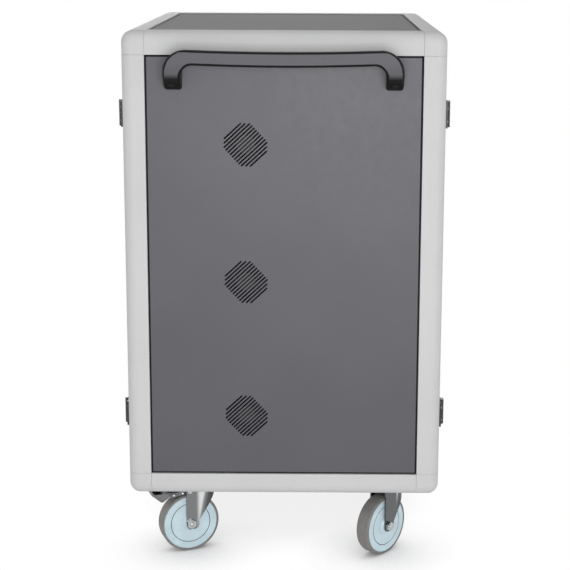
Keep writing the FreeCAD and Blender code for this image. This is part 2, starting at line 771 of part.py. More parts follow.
def power_switch():
    """Rocker, tipped to one side, on two short trunnions."""
    pivot = rocker_middle()
    half_width = ROCKER_WIDTH / 2
    half_rise = ROCKER_HEIGHT / 2
    rise = ROCKER_DEPTH / 2
    place = plane(pivot - X_AXIS * half_width, Y_AXIS, Z_AXIS)
    corners = [
        (-rise, -half_rise + rise, rise / 2),
        (rise, -half_rise, ROCKER_EDGE),
        (rise * ROCKER_HOLLOW, 0, half_rise),
        (rise, half_rise, ROCKER_EDGE),
        (-rise, half_rise - rise, rise / 2),
    ]
    rocker = prism(corners, place, X_AXIS * ROCKER_WIDTH)
    pin_reach = X_AXIS * (half_width + ROCKER_PIN_END)
    rocker = rocker.fuse(rod(ROCKER_PIN, pivot - pin_reach, pivot + pin_reach)).removeSplitter()
    rocker.rotate(pivot, X_AXIS, -ROCKER_TILT)
    return rocker


def mains_inlet():
    """Appliance inlet in the -X end panel: flange, housing and socket cavity."""
    middle = inlet_middle()
    flange_y, flange_z = inlet_range(INLET_FLANGE)
    body_y, body_z = inlet_range()
    face_x = middle.x - INLET_FLANGE_SHEET
    inlet = box((middle.x, face_x), flange_y, flange_z)
    inlet = inlet.fuse(box((middle.x, middle.x + INLET_DEPTH), body_y, body_z)).removeSplitter()
    width, height, depth = INLET_CAVITY
    mouth = plane(Vector(face_x, middle.y, middle.z), Y_AXIS, Z_AXIS)
    outline = rectangle((-width / 2, width / 2), (-height / 2, height / 2), INLET_CORNER)
    return inlet.cut(prism(outline, mouth, X_AXIS * depth))


# Doors, hinges and locks. Each is made for the device door at -Y and mirrored for the service door.

def lock_middle():
    """Centre of the lock spindle on the outer face of the device door."""
    x = -OPEN_X + DOOR_GAP + LOCK_EDGE
    return Vector(x, -DOOR_FACE_Y, TOP_Z - LOCK_DROP + LOCK_PIVOT_RISE)


def door():
    """Sheet door with folded edges and a bore for the lock spindle."""
    place = plane(Vector(0, -DOOR_FACE_Y, 0), X_AXIS, Z_AXIS)
    width = (-OPEN_X + DOOR_GAP, OPEN_X - DOOR_GAP)
    height = (OPEN_BOTTOM + DOOR_GAP, OPEN_TOP - DOOR_GAP)
    leaf = tray(place, Y_AXIS, width, height, DOOR_DEPTH)
    middle = lock_middle()
    bore = LOCK_SPINDLE + 2 * PIN_CLEARANCE
    return leaf.cut(rod(bore, middle - Y_AXIS, middle + Y_AXIS * 2 * SHEET))


def hinge_axis(drop):
    """Centre of a hinge: over the joint between post and door, standing off the frame's side."""
    return Vector(OPEN_X - DOOR_GAP / 2, -SIDE_Y - HINGE_STANDOFF, TOP_Z - drop)


def hinge_half(drop, upper, face_y, side):
    """One leaf with its half of the knuckle; side is +1 for the post's leaf, -1 for the door's."""
    axis = hinge_axis(drop)
    half = HINGE_HEIGHT / 2
    split = HINGE_SPLIT_GAP / 2
    if upper:
        knuckle_z = (axis.z + split, axis.z + half)
    else:
        knuckle_z = (axis.z - half, axis.z - split)
    bottom = Vector(axis.x, axis.y, knuckle_z[0])
    top = Vector(axis.x, axis.y, knuckle_z[1])
    knuckle = rod(2 * HINGE_RADIUS, bottom, top)
    inner_x = axis.x + side * (HINGE_RADIUS + HINGE_LEAF_GAP)
    outer_x = inner_x + side * HINGE_LEAF_WIDTH
    outer_y = -SIDE_Y - HINGE_LEAF_SHEET
    leaf = box((inner_x, outer_x), (face_y, outer_y), (axis.z - half, axis.z + half))
    web = box((axis.x, inner_x + side), (-SIDE_Y - HINGE_EDGE, outer_y), knuckle_z)
    hinge = knuckle.fuse([leaf, web]).removeSplitter()
    bore = rod(HINGE_PIN + 2 * PIN_CLEARANCE, bottom - Z_AXIS, top + Z_AXIS)
    hinge = hinge.cut(bore)
    leaf_edges = edges_on(hinge, Vector(outer_x, 0, 0), X_AXIS)
    return hinge.makeFillet(HINGE_EDGE, leaf_edges)


def frame_leaf(drop):
    """Hinge leaf on the post."""
    return hinge_half(drop, False, -SIDE_Y, 1)


def door_leaf(drop):
    """Hinge leaf on the door."""
    return hinge_half(drop, True, -DOOR_FACE_Y, -1)


def hinge_pin(drop):
    """Pin through both halves of a knuckle, held by its head on top."""
    axis = hinge_axis(drop)
    half = HINGE_HEIGHT / 2
    pin = rod(HINGE_PIN, axis - Z_AXIS * half, axis + Z_AXIS * (half + HINGE_SPLIT_GAP))
    head_start = axis + Z_AXIS * (half + HINGE_SPLIT_GAP)
    head = rod(2 * HINGE_RADIUS - HINGE_EDGE, head_start, head_start + Z_AXIS * HINGE_EDGE * 2)
    return pin.fuse(head).removeSplitter()


def lock_plate():
    """Escutcheon on the face of the door."""
    middle = lock_middle()
    half_width = LOCK_PLATE_WIDTH / 2
    place = plane(Vector(middle.x, middle.y, middle.z), X_AXIS, Z_AXIS)
    low = LOCK_PLATE_WIDTH / 2 - LOCK_PLATE_HEIGHT
    outline = rectangle((-half_width, half_width), (low, half_width), LOCK_PLATE_CORNER)
    plate = prism(outline, place, Y_AXIS * -LOCK_PLATE_DEPTH)
    plate = plate.makeFillet(PANEL_EDGE, edges_on(plate, middle - Y_AXIS * LOCK_PLATE_DEPTH, Y_AXIS))
    bore = LOCK_SPINDLE + 2 * PIN_CLEARANCE
    return plate.cut(rod(bore, middle + Y_AXIS, middle - Y_AXIS * (LOCK_PLATE_DEPTH + OVERLAP)))


def lock_lever():
    """Swing lever hanging down over the plate, with its spindle through the door."""
    middle = lock_middle()
    boss_start = middle - Y_AXIS * (LOCK_PLATE_DEPTH + LOCK_RUNNING_GAP)
    boss_end = boss_start - Y_AXIS * LEVER_BOSS_DEPTH
    half_width = LEVER_WIDTH / 2
    place = plane(boss_end, X_AXIS, Z_AXIS)
    reach = (half_width - LEVER_LENGTH, half_width)
    outline = rectangle((-half_width, half_width), reach, half_width * FULL_ROUND)
    arm = prism(outline, place, Y_AXIS * -LEVER_DEPTH)
    arm = arm.makeFillet(LEVER_EDGE, edges_on(arm, boss_end - Y_AXIS * LEVER_DEPTH, Y_AXIS))
    boss = rod(LEVER_BOSS, boss_start, boss_end)
    spindle = rod(LOCK_SPINDLE, boss_end, middle + Y_AXIS * (SHEET + LOCK_RUNNING_GAP))
    return arm.fuse([boss, spindle]).removeSplitter()


def lock_cam():
    """Cam on the inner end of the spindle, inside the hollow of the door."""
    start = lock_middle() + Y_AXIS * (SHEET + LOCK_RUNNING_GAP)
    half_width = CAM_WIDTH / 2
    place = plane(start, X_AXIS, Z_AXIS)
    outline = rectangle((-half_width, half_width), (half_width - CAM_LENGTH, half_width), CAM_CORNER)
    return prism(outline, place, Y_AXIS * CAM_SHEET)


# Castors, each built round its swivel axis with the wheel trailing along +X and its axle along Y

def plate_bottom():
    """Underside of a castor's mounting plate."""
    return CASTOR_HEIGHT - PLATE_SHEET


def crown_top():
    """Upper face of a fork, a running gap below the fixed race."""
    return plate_bottom() - RACE_DEPTH - RACE_GAP


def fork_half_width():
    """Half the clear width between the legs of a fork."""
    return TYRE_WIDTH / 2 + FORK_SIDE_GAP


def axle_middle():
    """Centre of a wheel."""
    return Vector(CASTOR_TRAIL, 0, WHEEL_RADIUS)


def pedal_pivot():
    """Centre of a brake pedal's pin."""
    return Vector(PEDAL_PIVOT_TRAIL, 0, PEDAL_PIVOT_RISE)


def bolt_places():
    """Middles of a mounting plate's four holes."""
    pitch_x, pitch_y = PLATE_HOLE_PITCH
    return [Vector(sx * pitch_x / 2, sy * pitch_y / 2, 0) for sx in (-1, 1) for sy in (-1, 1)]


def castor_plate():
    """Mounting plate with the fixed race, and the king pin that holds the fork up."""
    half_length = PLATE_LENGTH / 2
    half_width = PLATE_WIDTH / 2
    place = plane(Z_AXIS * plate_bottom(), X_AXIS, Y_AXIS)
    outline = rectangle((-half_length, half_length), (-half_width, half_width), PLATE_CORNER)
    plate = prism(outline, place, Z_AXIS * PLATE_SHEET)
    below = Z_AXIS * (plate_bottom() - OVERLAP)
    above = Z_AXIS * (CASTOR_HEIGHT + OVERLAP)
    holes = [rod(PLATE_HOLE, spot + below, spot + above) for spot in bolt_places()]
    plate = plate.cut(holes)
    race = rod(RACE_DIAMETER, Z_AXIS * (plate_bottom() - RACE_DEPTH), Z_AXIS * plate_bottom())
    nut_top = crown_top() - FORK_CROWN - RACE_GAP
    pin = rod(KING_PIN, Z_AXIS * nut_top, Z_AXIS * plate_bottom())
    nut = rod(KING_NUT, Z_AXIS * (nut_top - KING_NUT_DEPTH), Z_AXIS * nut_top)
    return plate.fuse([race, pin, nut]).removeSplitter()


def castor_bolts():
    """Hexagon heads under a mounting plate."""
    bolts = []
    for spot in bolt_places():
        top = spot + Z_AXIS * plate_bottom()
        head = hexagon(BOLT_HEX, top - Z_AXIS * BOLT_HEAD, top, X_AXIS)
        shank = rod(BOLT_SHANK, top, top + Z_AXIS * PLATE_SHEET)
        bolts.append(head.fuse(shank).removeSplitter())
    return bolts


def castor_fork(braked):
    """Pressed fork: a U-shaped shell cut to its side view, with the running race on its crown."""
    inner = fork_half_width()
    outer = inner + FORK_SHEET
    back = CASTOR_TRAIL + FORK_BACK
    foot = WHEEL_RADIUS - FORK_FOOT_DROP

    def u_block(half_width, front, rear, low, high):
        place = plane(Z_AXIS * low, X_AXIS, Y_AXIS)
        outline = rectangle((front - half_width, rear), (-half_width, half_width))
        outline[0] = (front - half_width, -half_width, half_width * FULL_ROUND)
        outline[3] = (front - half_width, half_width, half_width * FULL_ROUND)
        return prism(outline, place, Z_AXIS * (high - low))

    shell = u_block(outer, -FORK_FRONT, back, foot, crown_top())
    hollow = u_block(inner, -FORK_FRONT, back + FORK_BACK, foot - OVERLAP, crown_top() - FORK_CROWN)
    shell = shell.cut(hollow)
    nose = -FORK_FRONT - outer
    side_view = [
        (nose - OVERLAP, crown_top() + OVERLAP, 0),
        (back, crown_top() + OVERLAP, 0),
        (back, foot, FORK_FOOT * FULL_ROUND),
        (CASTOR_TRAIL - FORK_FOOT_FRONT, foot, FORK_FOOT * FULL_ROUND),
        (CASTOR_TRAIL - FORK_FOOT_FRONT, WHEEL_RADIUS + FORK_FOOT / 2, FORK_FOOT),
        (nose - OVERLAP, crown_top() - FORK_FRONT_DROP, 0),
    ]
    cutter = prism(side_view, plane(Y_AXIS * -outer * 2, X_AXIS, Z_AXIS), Y_AXIS * outer * 4)
    shell = shell.common(cutter)
    race = rod(RACE_DIAMETER, Z_AXIS * (crown_top() - FORK_CROWN), Z_AXIS * crown_top())
    shell = shell.fuse(race).removeSplitter()
    side = Y_AXIS * (outer + OVERLAP)
    bores = [
        rod(KING_PIN + 2 * PIN_CLEARANCE, Z_AXIS * foot, Z_AXIS * (crown_top() + OVERLAP)),
        rod(AXLE_DIAMETER + 2 * PIN_CLEARANCE, axle_middle() - side, axle_middle() + side),
    ]
    if braked:
        bores.append(rod(PEDAL_PIN + 2 * PIN_CLEARANCE, pedal_pivot() - side, pedal_pivot() + side))
    return shell.cut(bores)


def castor_axle():
    """Axle bolt with its head and nut outside the fork."""
    side = Y_AXIS * (fork_half_width() + FORK_SHEET)
    head = Y_AXIS * AXLE_HEX_DEPTH
    middle = axle_middle()
    bolt = rod(AXLE_DIAMETER, middle - side - head - Y_AXIS * AXLE_TAIL, middle + side + head)
    near = hexagon(AXLE_HEX, middle + side, middle + side + head, Z_AXIS)
    far = hexagon(AXLE_HEX, middle - side, middle - side - head, Z_AXIS)
    return bolt.fuse([near, far]).removeSplitter()


def wheel_core():
    """Plastic wheel centre: hub, flat discs with a ring groove, and the rim under the tyre."""
    hub_half = fork_half_width() - HUB_SIDE_GAP
    rim = WHEEL_RADIUS - TYRE_THICKNESS - TYRE_FIT
    groove_in = CORE_GROOVE_RADIUS - CORE_GROOVE
    bore = AXLE_DIAMETER / 2 + PIN_CLEARANCE
    half = [
        (hub_half, bore),
        (hub_half, CORE_HUB_RADIUS),
        (CORE_FACE, CORE_HUB_RADIUS + (hub_half - CORE_FACE)),
        (CORE_FACE, groove_in),
        (CORE_FACE - CORE_GROOVE, groove_in + CORE_GROOVE / 4),
        (CORE_FACE - CORE_GROOVE, CORE_GROOVE_RADIUS - CORE_GROOVE / 4),
        (CORE_FACE, CORE_GROOVE_RADIUS),
        (CORE_FACE, rim - CORE_GROOVE),
        (CORE_FACE - CORE_GROOVE, rim),
    ]
    profile = half + [(-along, radius) for along, radius in reversed(half)]
    return turned(profile, axle_middle(), Y_AXIS, Z_AXIS)


def wheel_tyre():
    """Rubber tyre with shoulders turned down in two steps."""
    half = TYRE_WIDTH / 2
    inner = WHEEL_RADIUS - TYRE_THICKNESS
    step = TYRE_EDGE * (1 - math.sqrt(0.5))
    side = [
        (half, inner),
        (half, WHEEL_RADIUS - TYRE_EDGE),
        (half - step, WHEEL_RADIUS - step),
        (half - TYRE_EDGE, WHEEL_RADIUS),
    ]
    profile = side + [(-along, radius) for along, radius in reversed(side)]
    return turned(profile, axle_middle(), Y_AXIS, Z_AXIS)


def brake_pedal():
    """Bent foot plate on a pin through the fork, with a turned-up lip beyond the tyre."""
    pivot = pedal_pivot()
    half_width = PEDAL_WIDTH / 2
    place = plane(pivot - Y_AXIS * half_width, X_AXIS, Z_AXIS)
    near, far = PEDAL_STEP
    near_fall, far_fall = PEDAL_FALL
    top = PEDAL_SHEET / 2
    lip = far_fall - PEDAL_LIP_RISE
    wide, sharp, under = PEDAL_BENDS
    corners = [
        (0, top, 0),
        (near, top - near_fall, wide),
        (far, top - far_fall, sharp),
        (PEDAL_REACH, top - lip, 0),
        (PEDAL_REACH + PEDAL_SHEET, top - lip - PEDAL_SHEET, 0),
        (far, top - far_fall - PEDAL_BEND_SHEET, under),
        (near - OVERLAP, -top - near_fall, wide),
        (0, -top, 0),
    ]
    plate = prism(corners, place, Y_AXIS * PEDAL_WIDTH)
    side = Y_AXIS * (fork_half_width() + FORK_SHEET)
    inner_side = Y_AXIS * (fork_half_width() - FORK_SIDE_GAP)
    hub = rod(2 * PEDAL_HUB_RADIUS, pivot - inner_side, pivot + inner_side)
    pin = rod(PEDAL_PIN, pivot - side, pivot + side)
    return plate.fuse([hub, pin]).removeSplitter()


def placed(solid, name, spots):
    """Castor piece turned and moved under its corner of the cabinet."""
    solid = solid.copy()
    solid.rotate(ORIGIN, Z_AXIS, CASTOR_TURNS[name] - 90)
    solid.translate(spots[name])
    return solid


def castor_spots():
    """Swivel axis of each castor."""
    return {
        "front_right": Vector(CASTOR_X, BRAKED_Y, 0),
        "rear_right": Vector(CASTOR_X, PLAIN_Y, 0),
        "front_left": Vector(-CASTOR_X, BRAKED_Y, 0),
        "rear_left": Vector(-CASTOR_X, PLAIN_Y, 0),
    }


def moved(solid, spot):
    """Copy of a castor piece that stays square to the cabinet."""
    solid = solid.copy()
    solid.translate(spot)
    return solid


def build():
    """All the nodes by name, each a list of solids."""
    nodes = {
        "posts_front": [post(-1, -1), post(1, -1)],
        "posts_rear": [post(-1, 1), post(1, 1)],
        "long_rails_top": [long_rail(side, TOP_Z, Z_AXIS * -1) for side in (-1, 1)],
        "long_rails_bottom": [long_rail(side, BASE_Z, Z_AXIS) for side in (-1, 1)],
        "end_rails_top": [end_rail(side, TOP_Z, Z_AXIS * -1) for side in (-1, 1)],
        "end_rails_bottom": [end_rail(side, BASE_Z, Z_AXIS) for side in (-1, 1)],
        "corner_blocks": corner_blocks(),
        "top_panel": [level_panel(TOP_Z - PANEL_RECESS, Z_AXIS * -1, PANEL_DEPTH)],
        "floor_panel": [level_panel(BASE_Z, Z_AXIS, PANEL_LIP)],
        "end_panel_right": [end_panel()],
        "end_panel_left": [far_end_panel()],
        "panel_seals": panel_seals(),
        "bulkhead": [bulkhead()],
        "shelf_lower": [shelf(0)],
        "shelf_middle": [shelf(1)],
        "shelf_upper": [shelf(2)],
        "dividers": dividers(),
        "push_handle_right": [push_handle()],
        "push_handle_left": [mirror_x(push_handle())],
        "fan_frames": [fan_frame(drop) for drop in VENT_DROPS],
        "socket_strips": socket_strips(),
        "control_unit": [control_unit()],
        "power_switch": [power_switch()],
        "mains_inlet": [mains_inlet()],
        "front_door": [door()],
        "rear_door": [mirror_y(door())],
        "hinge_leaves_front_door": [door_leaf(drop) for drop in HINGE_DROPS],
        "hinge_leaves_rear_door": [mirror_y(door_leaf(drop)) for drop in HINGE_DROPS],
        "lock_plate_front": [lock_plate()],
        "lock_plate_rear": [mirror_y(lock_plate())],
        "lock_lever_front": [lock_lever()],
        "lock_lever_rear": [mirror_y(lock_lever())],
        "lock_cam_front": [lock_cam()],
        "lock_cam_rear": [mirror_y(lock_cam())],
    }
    for level, drop in zip(("upper", "middle", "lower"), VENT_DROPS):
        nodes["fan_rotor_" + level] = [fan_rotor(drop)]
    frame_leaves = [frame_leaf(drop) for drop in HINGE_DROPS]
    pins = [hinge_pin(drop) for drop in HINGE_DROPS]
    nodes["hinge_leaves_posts"] = frame_leaves + [mirror_y(leaf) for leaf in frame_leaves]
    nodes["hinge_pins"] = pins + [mirror_y(pin) for pin in pins]
    spots = castor_spots()
    plate = castor_plate()
    nodes["castor_plates"] = [moved(plate, spot) for spot in spots.values()]
    nodes["castor_bolts"] = [moved(bolt, spot) for spot in spots.values() for bolt in castor_bolts()]
    pieces = {"castor_axle": castor_axle(), "wheel_core": wheel_core(), "wheel_tyre": wheel_tyre()}
    for name in spots:
        braked = name.startswith("front")
        nodes["castor_fork_" + name] = [placed(castor_fork(braked), name, spots)]
        for piece, solid in pieces.items():
            nodes[piece + "_" + name] = [placed(solid, name, spots)]
        if braked:
            nodes["brake_pedal_" + name] = [placed(brake_pedal(), name, spots)]
    return nodes


def main():
    os.makedirs("parts", exist_ok=True)
    for name, solids in build().items():
        shape = solids[0] if len(solids) == 1 else Part.makeCompound(solids)
        shape.exportStep("parts/" + name + ".step")
        volume = sum(solid.Volume for solid in solids)
        print(f"{name}: {len(shape.Solids)} solids, {volume / 1000:.1f} cm3, valid {shape.isValid()}")


main()
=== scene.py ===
# %% [markdown]
# A charging cabinet on castors
#
# The construction arrives as a finished frame of solids in metres: posts, rails, panels, doors, fans, locks
# and castors. This lesson gives every solid the finish that its real surface has, adds the small fittings
# that a hand would notice, and sets the cabinet in a plain studio. Each step says what the piece is on the
# real cabinet, how it could be made, and why it is made this way.

# %% Load the frame
import json
import math

import bpy
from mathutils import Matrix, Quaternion, Vector


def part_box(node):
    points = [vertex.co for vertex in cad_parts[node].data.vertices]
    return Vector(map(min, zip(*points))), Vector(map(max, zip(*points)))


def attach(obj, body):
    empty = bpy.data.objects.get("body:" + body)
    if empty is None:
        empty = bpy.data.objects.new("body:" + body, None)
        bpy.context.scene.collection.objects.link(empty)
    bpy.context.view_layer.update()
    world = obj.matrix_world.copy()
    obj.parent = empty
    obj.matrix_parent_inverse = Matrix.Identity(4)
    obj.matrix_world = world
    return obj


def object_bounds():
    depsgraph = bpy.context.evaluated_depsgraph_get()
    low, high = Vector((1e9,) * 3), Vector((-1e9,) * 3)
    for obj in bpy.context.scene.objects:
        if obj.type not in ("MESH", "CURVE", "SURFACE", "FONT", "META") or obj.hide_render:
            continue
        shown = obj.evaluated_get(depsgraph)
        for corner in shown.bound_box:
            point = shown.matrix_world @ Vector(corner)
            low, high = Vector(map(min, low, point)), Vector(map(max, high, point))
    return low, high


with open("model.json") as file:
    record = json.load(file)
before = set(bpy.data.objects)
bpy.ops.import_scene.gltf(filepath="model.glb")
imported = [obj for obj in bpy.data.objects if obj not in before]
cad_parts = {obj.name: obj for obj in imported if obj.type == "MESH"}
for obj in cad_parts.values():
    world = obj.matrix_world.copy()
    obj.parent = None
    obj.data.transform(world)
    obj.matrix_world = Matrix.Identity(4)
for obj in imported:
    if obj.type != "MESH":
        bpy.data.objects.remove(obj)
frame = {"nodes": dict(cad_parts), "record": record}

cad_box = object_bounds()
nodes = frame["nodes"]
joint_of = {joint["name"]: joint for joint in frame["record"]["behaviour"]["joints"]}
CORNERS = ("front_right", "rear_right", "front_left", "rear_left")
MM = 0.001

# %% [markdown]
# Shader maths in Python
#
# A finish is a small network of nodes. Wiring each one by hand hides the idea, so one class wraps an output
# socket and lets Python's own operators add the Math nodes, and a second class holds the material and has
# one method that adds any other node. After that a finish reads like a formula.

# %% The two classes that write finishes
class Signal:
    """One output of a shader node, which +, - and * can work on."""

    def __init__(self, finish, socket):
        self.finish = finish
        self.socket = socket

    def maths(self, operation, first, second):
        """Adds a Math node."""
        return self.finish.node("ShaderNodeMath", {"operation": operation}, {0: first, 1: second})

    def __add__(self, other):
        return self.maths("ADD", self, other)

    __radd__ = __add__

    def __sub__(self, other):
        return self.maths("SUBTRACT", self, other)

    def __rsub__(self, other):
        return self.maths("SUBTRACT", other, self)

    def __mul__(self, other):
        return self.maths("MULTIPLY", self, other)

    __rmul__ = __mul__

    def size(self):
        """The value without its sign."""
        return self.maths("ABSOLUTE", self, 0.0)

    def larger(self, other):
        """The larger of two values."""
        return self.maths("MAXIMUM", self, other)

    def output(self, name):
        """Another output of the same node."""
        return Signal(self.finish, self.socket.node.outputs[name])


class Finish:
    """The nodes of a material or of the world, and the shader that they feed."""

    def __init__(self, owner, shader):
        owner.use_nodes = True
        self.owner = owner
        self.tree = owner.node_tree
        self.shader = self.tree.nodes[shader]

    @classmethod
    def coat(cls, name):
        """New material for a piece."""
        return cls(bpy.data.materials.new(name), "Principled BSDF")

    def node(self, kind, settings, inputs):
        """Adds a node: first its settings, then the values or signals of its sockets."""
        node = self.tree.nodes.new(kind)
        for name, value in settings.items():
            setattr(node, name, value)
        for name, value in inputs.items():
            self.feed(self.socket_of(node, name), value)
        return Signal(self, next(socket for socket in node.outputs if socket.enabled))

    def socket_of(self, node, name):
        """A node's input by its number, or by its name if it is in use."""
        if isinstance(name, int):
            return node.inputs[name]
        return next(socket for socket in node.inputs if socket.name == name and socket.enabled)

    def feed(self, socket, value):
        """Links a signal to a socket, or sets a plain value on it."""
        if isinstance(value, Signal):
            self.tree.links.new(value.socket, socket)
        else:
            socket.default_value = value

    def surface(self, sockets):
        """Sets or links the shader's own sockets."""
        for name, value in sockets.items():
            self.feed(self.shader.inputs[name], value)
        return self.owner

    def place(self):
        """Where a point lies on the piece, in metres."""
        return self.node("ShaderNodeTexCoord", {}, {}).output("Object")

    def distance(self, start, direction):
        """How far a point lies from a start along a direction of length 1, in metres."""
        settings = {"operation": "DOT_PRODUCT"}
        reach = self.node("ShaderNodeVectorMath", settings, {0: self.place(), 1: direction})
        return reach.output("Value") - Vector(start).dot(direction)

    def noise(self, scale, detail=2.0, place=None):
        """Cloudy value from 0 to 1, with so many clouds to the metre."""
        inputs = {"Vector": place or self.place(), "Scale": scale, "Detail": detail}
        return self.node("ShaderNodeTexNoise", {}, inputs)

    def stretched(self, factors):
        """The piece's own place, stretched along its axes."""
        return self.node("ShaderNodeMapping", {}, {"Vector": self.place(), "Scale": factors})

    def ramp(self, signal, low, high):
        """0 below low, 1 above high, smooth between."""
        settings = {"interpolation_type": "SMOOTHSTEP"}
        return self.node("ShaderNodeMapRange", settings, {"Value": signal, "From Min": low, "From Max": high})

    def mix(self, factor, first, second):
        """One colour turning into another."""
        settings = {"data_type": "RGBA"}
        return self.node("ShaderNodeMix", settings, {"Factor": factor, "A": first, "B": second})

    def bump(self, height, distance):
        """Surface relief; height 1 stands out by distance."""
        return self.node("ShaderNodeBump", {}, {"Height": height, "Distance": distance, "Strength": 1.0})

    def axes(self, vector):
        """The X, Y and Z values of a vector."""
        parts = self.node("ShaderNodeSeparateXYZ", {}, {"Vector": vector})
        return [parts.output(axis) for axis in "XYZ"]


def grey(level, tint=(0.0, 0.0, 0.0)):
    """Opaque colour near a neutral grey."""
    return (level + tint[0], level + tint[1], level + tint[2], 1.0)


def shaded(colour, factor):
    """A colour made darker or lighter."""
    return tuple(min(1.0, channel * factor) for channel in colour[:3]) + (1.0,)


print("finishes are written as formulas")

# %% [markdown]
# Powder coat
#
# The frame and the panels are powder coated. The coat is a fused plastic skin: matt, very slightly dimpled
# like the skin of an orange, and a little uneven in tone where the powder lay thicker. A picture of a coat
# would repeat, so noise of three scales gives it: a fine dimple in the relief, a middle one in the gloss and
# a wide one in the tone. The top has a coarse, dull coat that shows no scratches, in a paler grey than the
# panels, which is painted light, and a dark strip all round its edge, which is painted shade.

# %% Powder coat for the frame, the panels and the doors
DIMPLES = 900.0
CLOUDS = 5.0
GLOSS_CLOUDS = 60.0
GLOSS_SWING = 0.1
CLOUD_SHARE = 0.7
CLOUD_EDGES = (0.3, 0.7)


def powder_coat(name, level, tint, roughness, spread, relief, gloss_level):
    """Matt coat of one grey with fine dimples."""
    finish = Finish.coat(name)
    tone = finish.noise(CLOUDS, 3.0)
    speck = finish.noise(DIMPLES)
    shade = tone * CLOUD_SHARE + speck * (1 - CLOUD_SHARE)
    dark = grey(level * (1 - spread), tint)
    light = grey(level * (1 + spread), tint)
    return finish.surface({
        "Base Color": finish.mix(finish.ramp(shade, *CLOUD_EDGES), dark, light),
        "Roughness": roughness + GLOSS_SWING * (finish.noise(GLOSS_CLOUDS) - 0.5),
        "Specular IOR Level": gloss_level,
        "Normal": finish.bump(speck, relief),
    })


frame_coat = powder_coat(
    "frame_coat",
    level=0.66,
    tint=(0.0, 0.0, 0.004),
    roughness=0.6,
    spread=0.025,
    relief=0.05 * MM,
    gloss_level=0.1,
)
panel_coat = powder_coat(
    "panel_coat",
    level=0.103,
    tint=(-0.003, -0.004, 0.01),
    roughness=0.42,
    spread=0.05,
    relief=0.06 * MM,
    gloss_level=0.4,
)
print("powder coats:", frame_coat.name, panel_coat.name)

# %% Coarse coat for the top, with painted light and painted shade
EDGE_SHADE_WIDTH = (17 * MM, 3 * MM)
EDGE_SHADE_SOFT = 0.4 * MM
# The top's grey is paler than the panels' coat as painted light; the edge strip is painted shade.
TOP_PAINTED_LIGHT_GREY = grey(0.31, (-0.001, -0.001, 0.002))
EDGE_PAINTED_SHADE = grey(0.02)
WORKTOP_DARKER = 0.9
WORKTOP_RELIEF = 0.12 * MM
WORKTOP_ROUGHNESS = 0.8
WORKTOP_GLOSS = 0.06


def top_coat_with_painted_light(name, half_size):
    """Dull, coarse coat in a paler grey as painted light, with painted shade in a strip all round the edge.
    """
    finish = Finish.coat(name)
    x, y = finish.axes(finish.place())[:2]
    along = x.size() - (half_size[0] - EDGE_SHADE_WIDTH[0])
    across = y.size() - (half_size[1] - EDGE_SHADE_WIDTH[1])
    # strip marks the painted shade along the edge.
    strip = finish.ramp(along.larger(across), 0.0, EDGE_SHADE_SOFT)
    grain = finish.noise(DIMPLES)
    speckled = finish.mix(grain, shaded(TOP_PAINTED_LIGHT_GREY, WORKTOP_DARKER), TOP_PAINTED_LIGHT_GREY)
    return finish.surface({
        "Base Color": finish.mix(strip, speckled, EDGE_PAINTED_SHADE),
        "Roughness": WORKTOP_ROUGHNESS + GLOSS_SWING * grain,
        "Specular IOR Level": WORKTOP_GLOSS,
        "Normal": finish.bump(grain, WORKTOP_RELIEF),
    })


painted_top_coat = top_coat_with_painted_light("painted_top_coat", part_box("top_panel")[1])
print("worktop:", painted_top_coat.name)

# %% [markdown]
# Plastic and rubber
#
# Handles, fans, locks and power strips are moulded plastic with an eroded texture from the mould: tiny pits
# of even size. Rubber is duller and slightly mottled. The handle's face is grey; its rounded edges and the
# faces of its feet that point down get painted shade, near black, picked by the surface's own direction.

# %% Moulded plastic and rubber
PITS = 1400.0
PLASTIC_CLOUDS = 30.0
PLASTIC_DARKER = 0.88
PLASTIC_SWING = 0.08
RUBBER_MOTTLE = 120.0
RUBBER_WEAR = 18.0
RUBBER_LIGHTER = 1.25
RUBBER_RELIEF = 0.08 * MM
WEAR_SHARE = 0.6
WEAR_EDGES = (0.35, 0.7)


def moulded_plastic(name, colour, roughness, relief=0.04 * MM):
    """Plastic with fine even pits from the mould."""
    finish = Finish.coat(name)
    pits = finish.node("ShaderNodeTexVoronoi", {"feature": "F1"}, {"Vector": finish.place(), "Scale": PITS})
    tone = finish.noise(PLASTIC_CLOUDS, 3.0)
    return finish.surface({
        "Base Color": finish.mix(finish.ramp(tone, *CLOUD_EDGES), shaded(colour, PLASTIC_DARKER), colour),
        "Roughness": roughness + PLASTIC_SWING * (tone - 0.5),
        "Normal": finish.bump(pits.output("Distance"), relief),
    })


def rubber(name, colour, roughness, gloss_level):
    """Dull, faintly mottled rubber."""
    finish = Finish.coat(name)
    mottle = finish.noise(RUBBER_MOTTLE, 4.0)
    wear = finish.noise(RUBBER_WEAR)
    worn = finish.ramp(wear * WEAR_SHARE + mottle * (1 - WEAR_SHARE), *WEAR_EDGES)
    return finish.surface({
        "Base Color": finish.mix(worn, colour, shaded(colour, RUBBER_LIGHTER)),
        "Roughness": roughness + GLOSS_SWING * (mottle - 0.5),
        "Specular IOR Level": gloss_level,
        "Normal": finish.bump(mottle, RUBBER_RELIEF),
    })


print("plastics and rubbers can be mixed")

# %% Handle plastic
HANDLE_FACE = grey(0.132, (-0.002, -0.003, 0.009))
HANDLE_PAINTED_SHADE = grey(0.005)
HANDLE_BAR = 32 * MM
BAR_SOFT = 4 * MM
BETWEEN_LEGS = (180 * MM, 210 * MM)
EDGE_TURN = (0.06, 0.22)
FOOT_TURN = (0.35, 0.6)
HANDLE_CLOUDS = 40.0
HANDLE_DARKER = 0.9
HANDLE_RELIEF = 0.03 * MM
HANDLE_ROUGHNESS = 0.36
HANDLE_GLOSS = 0.14


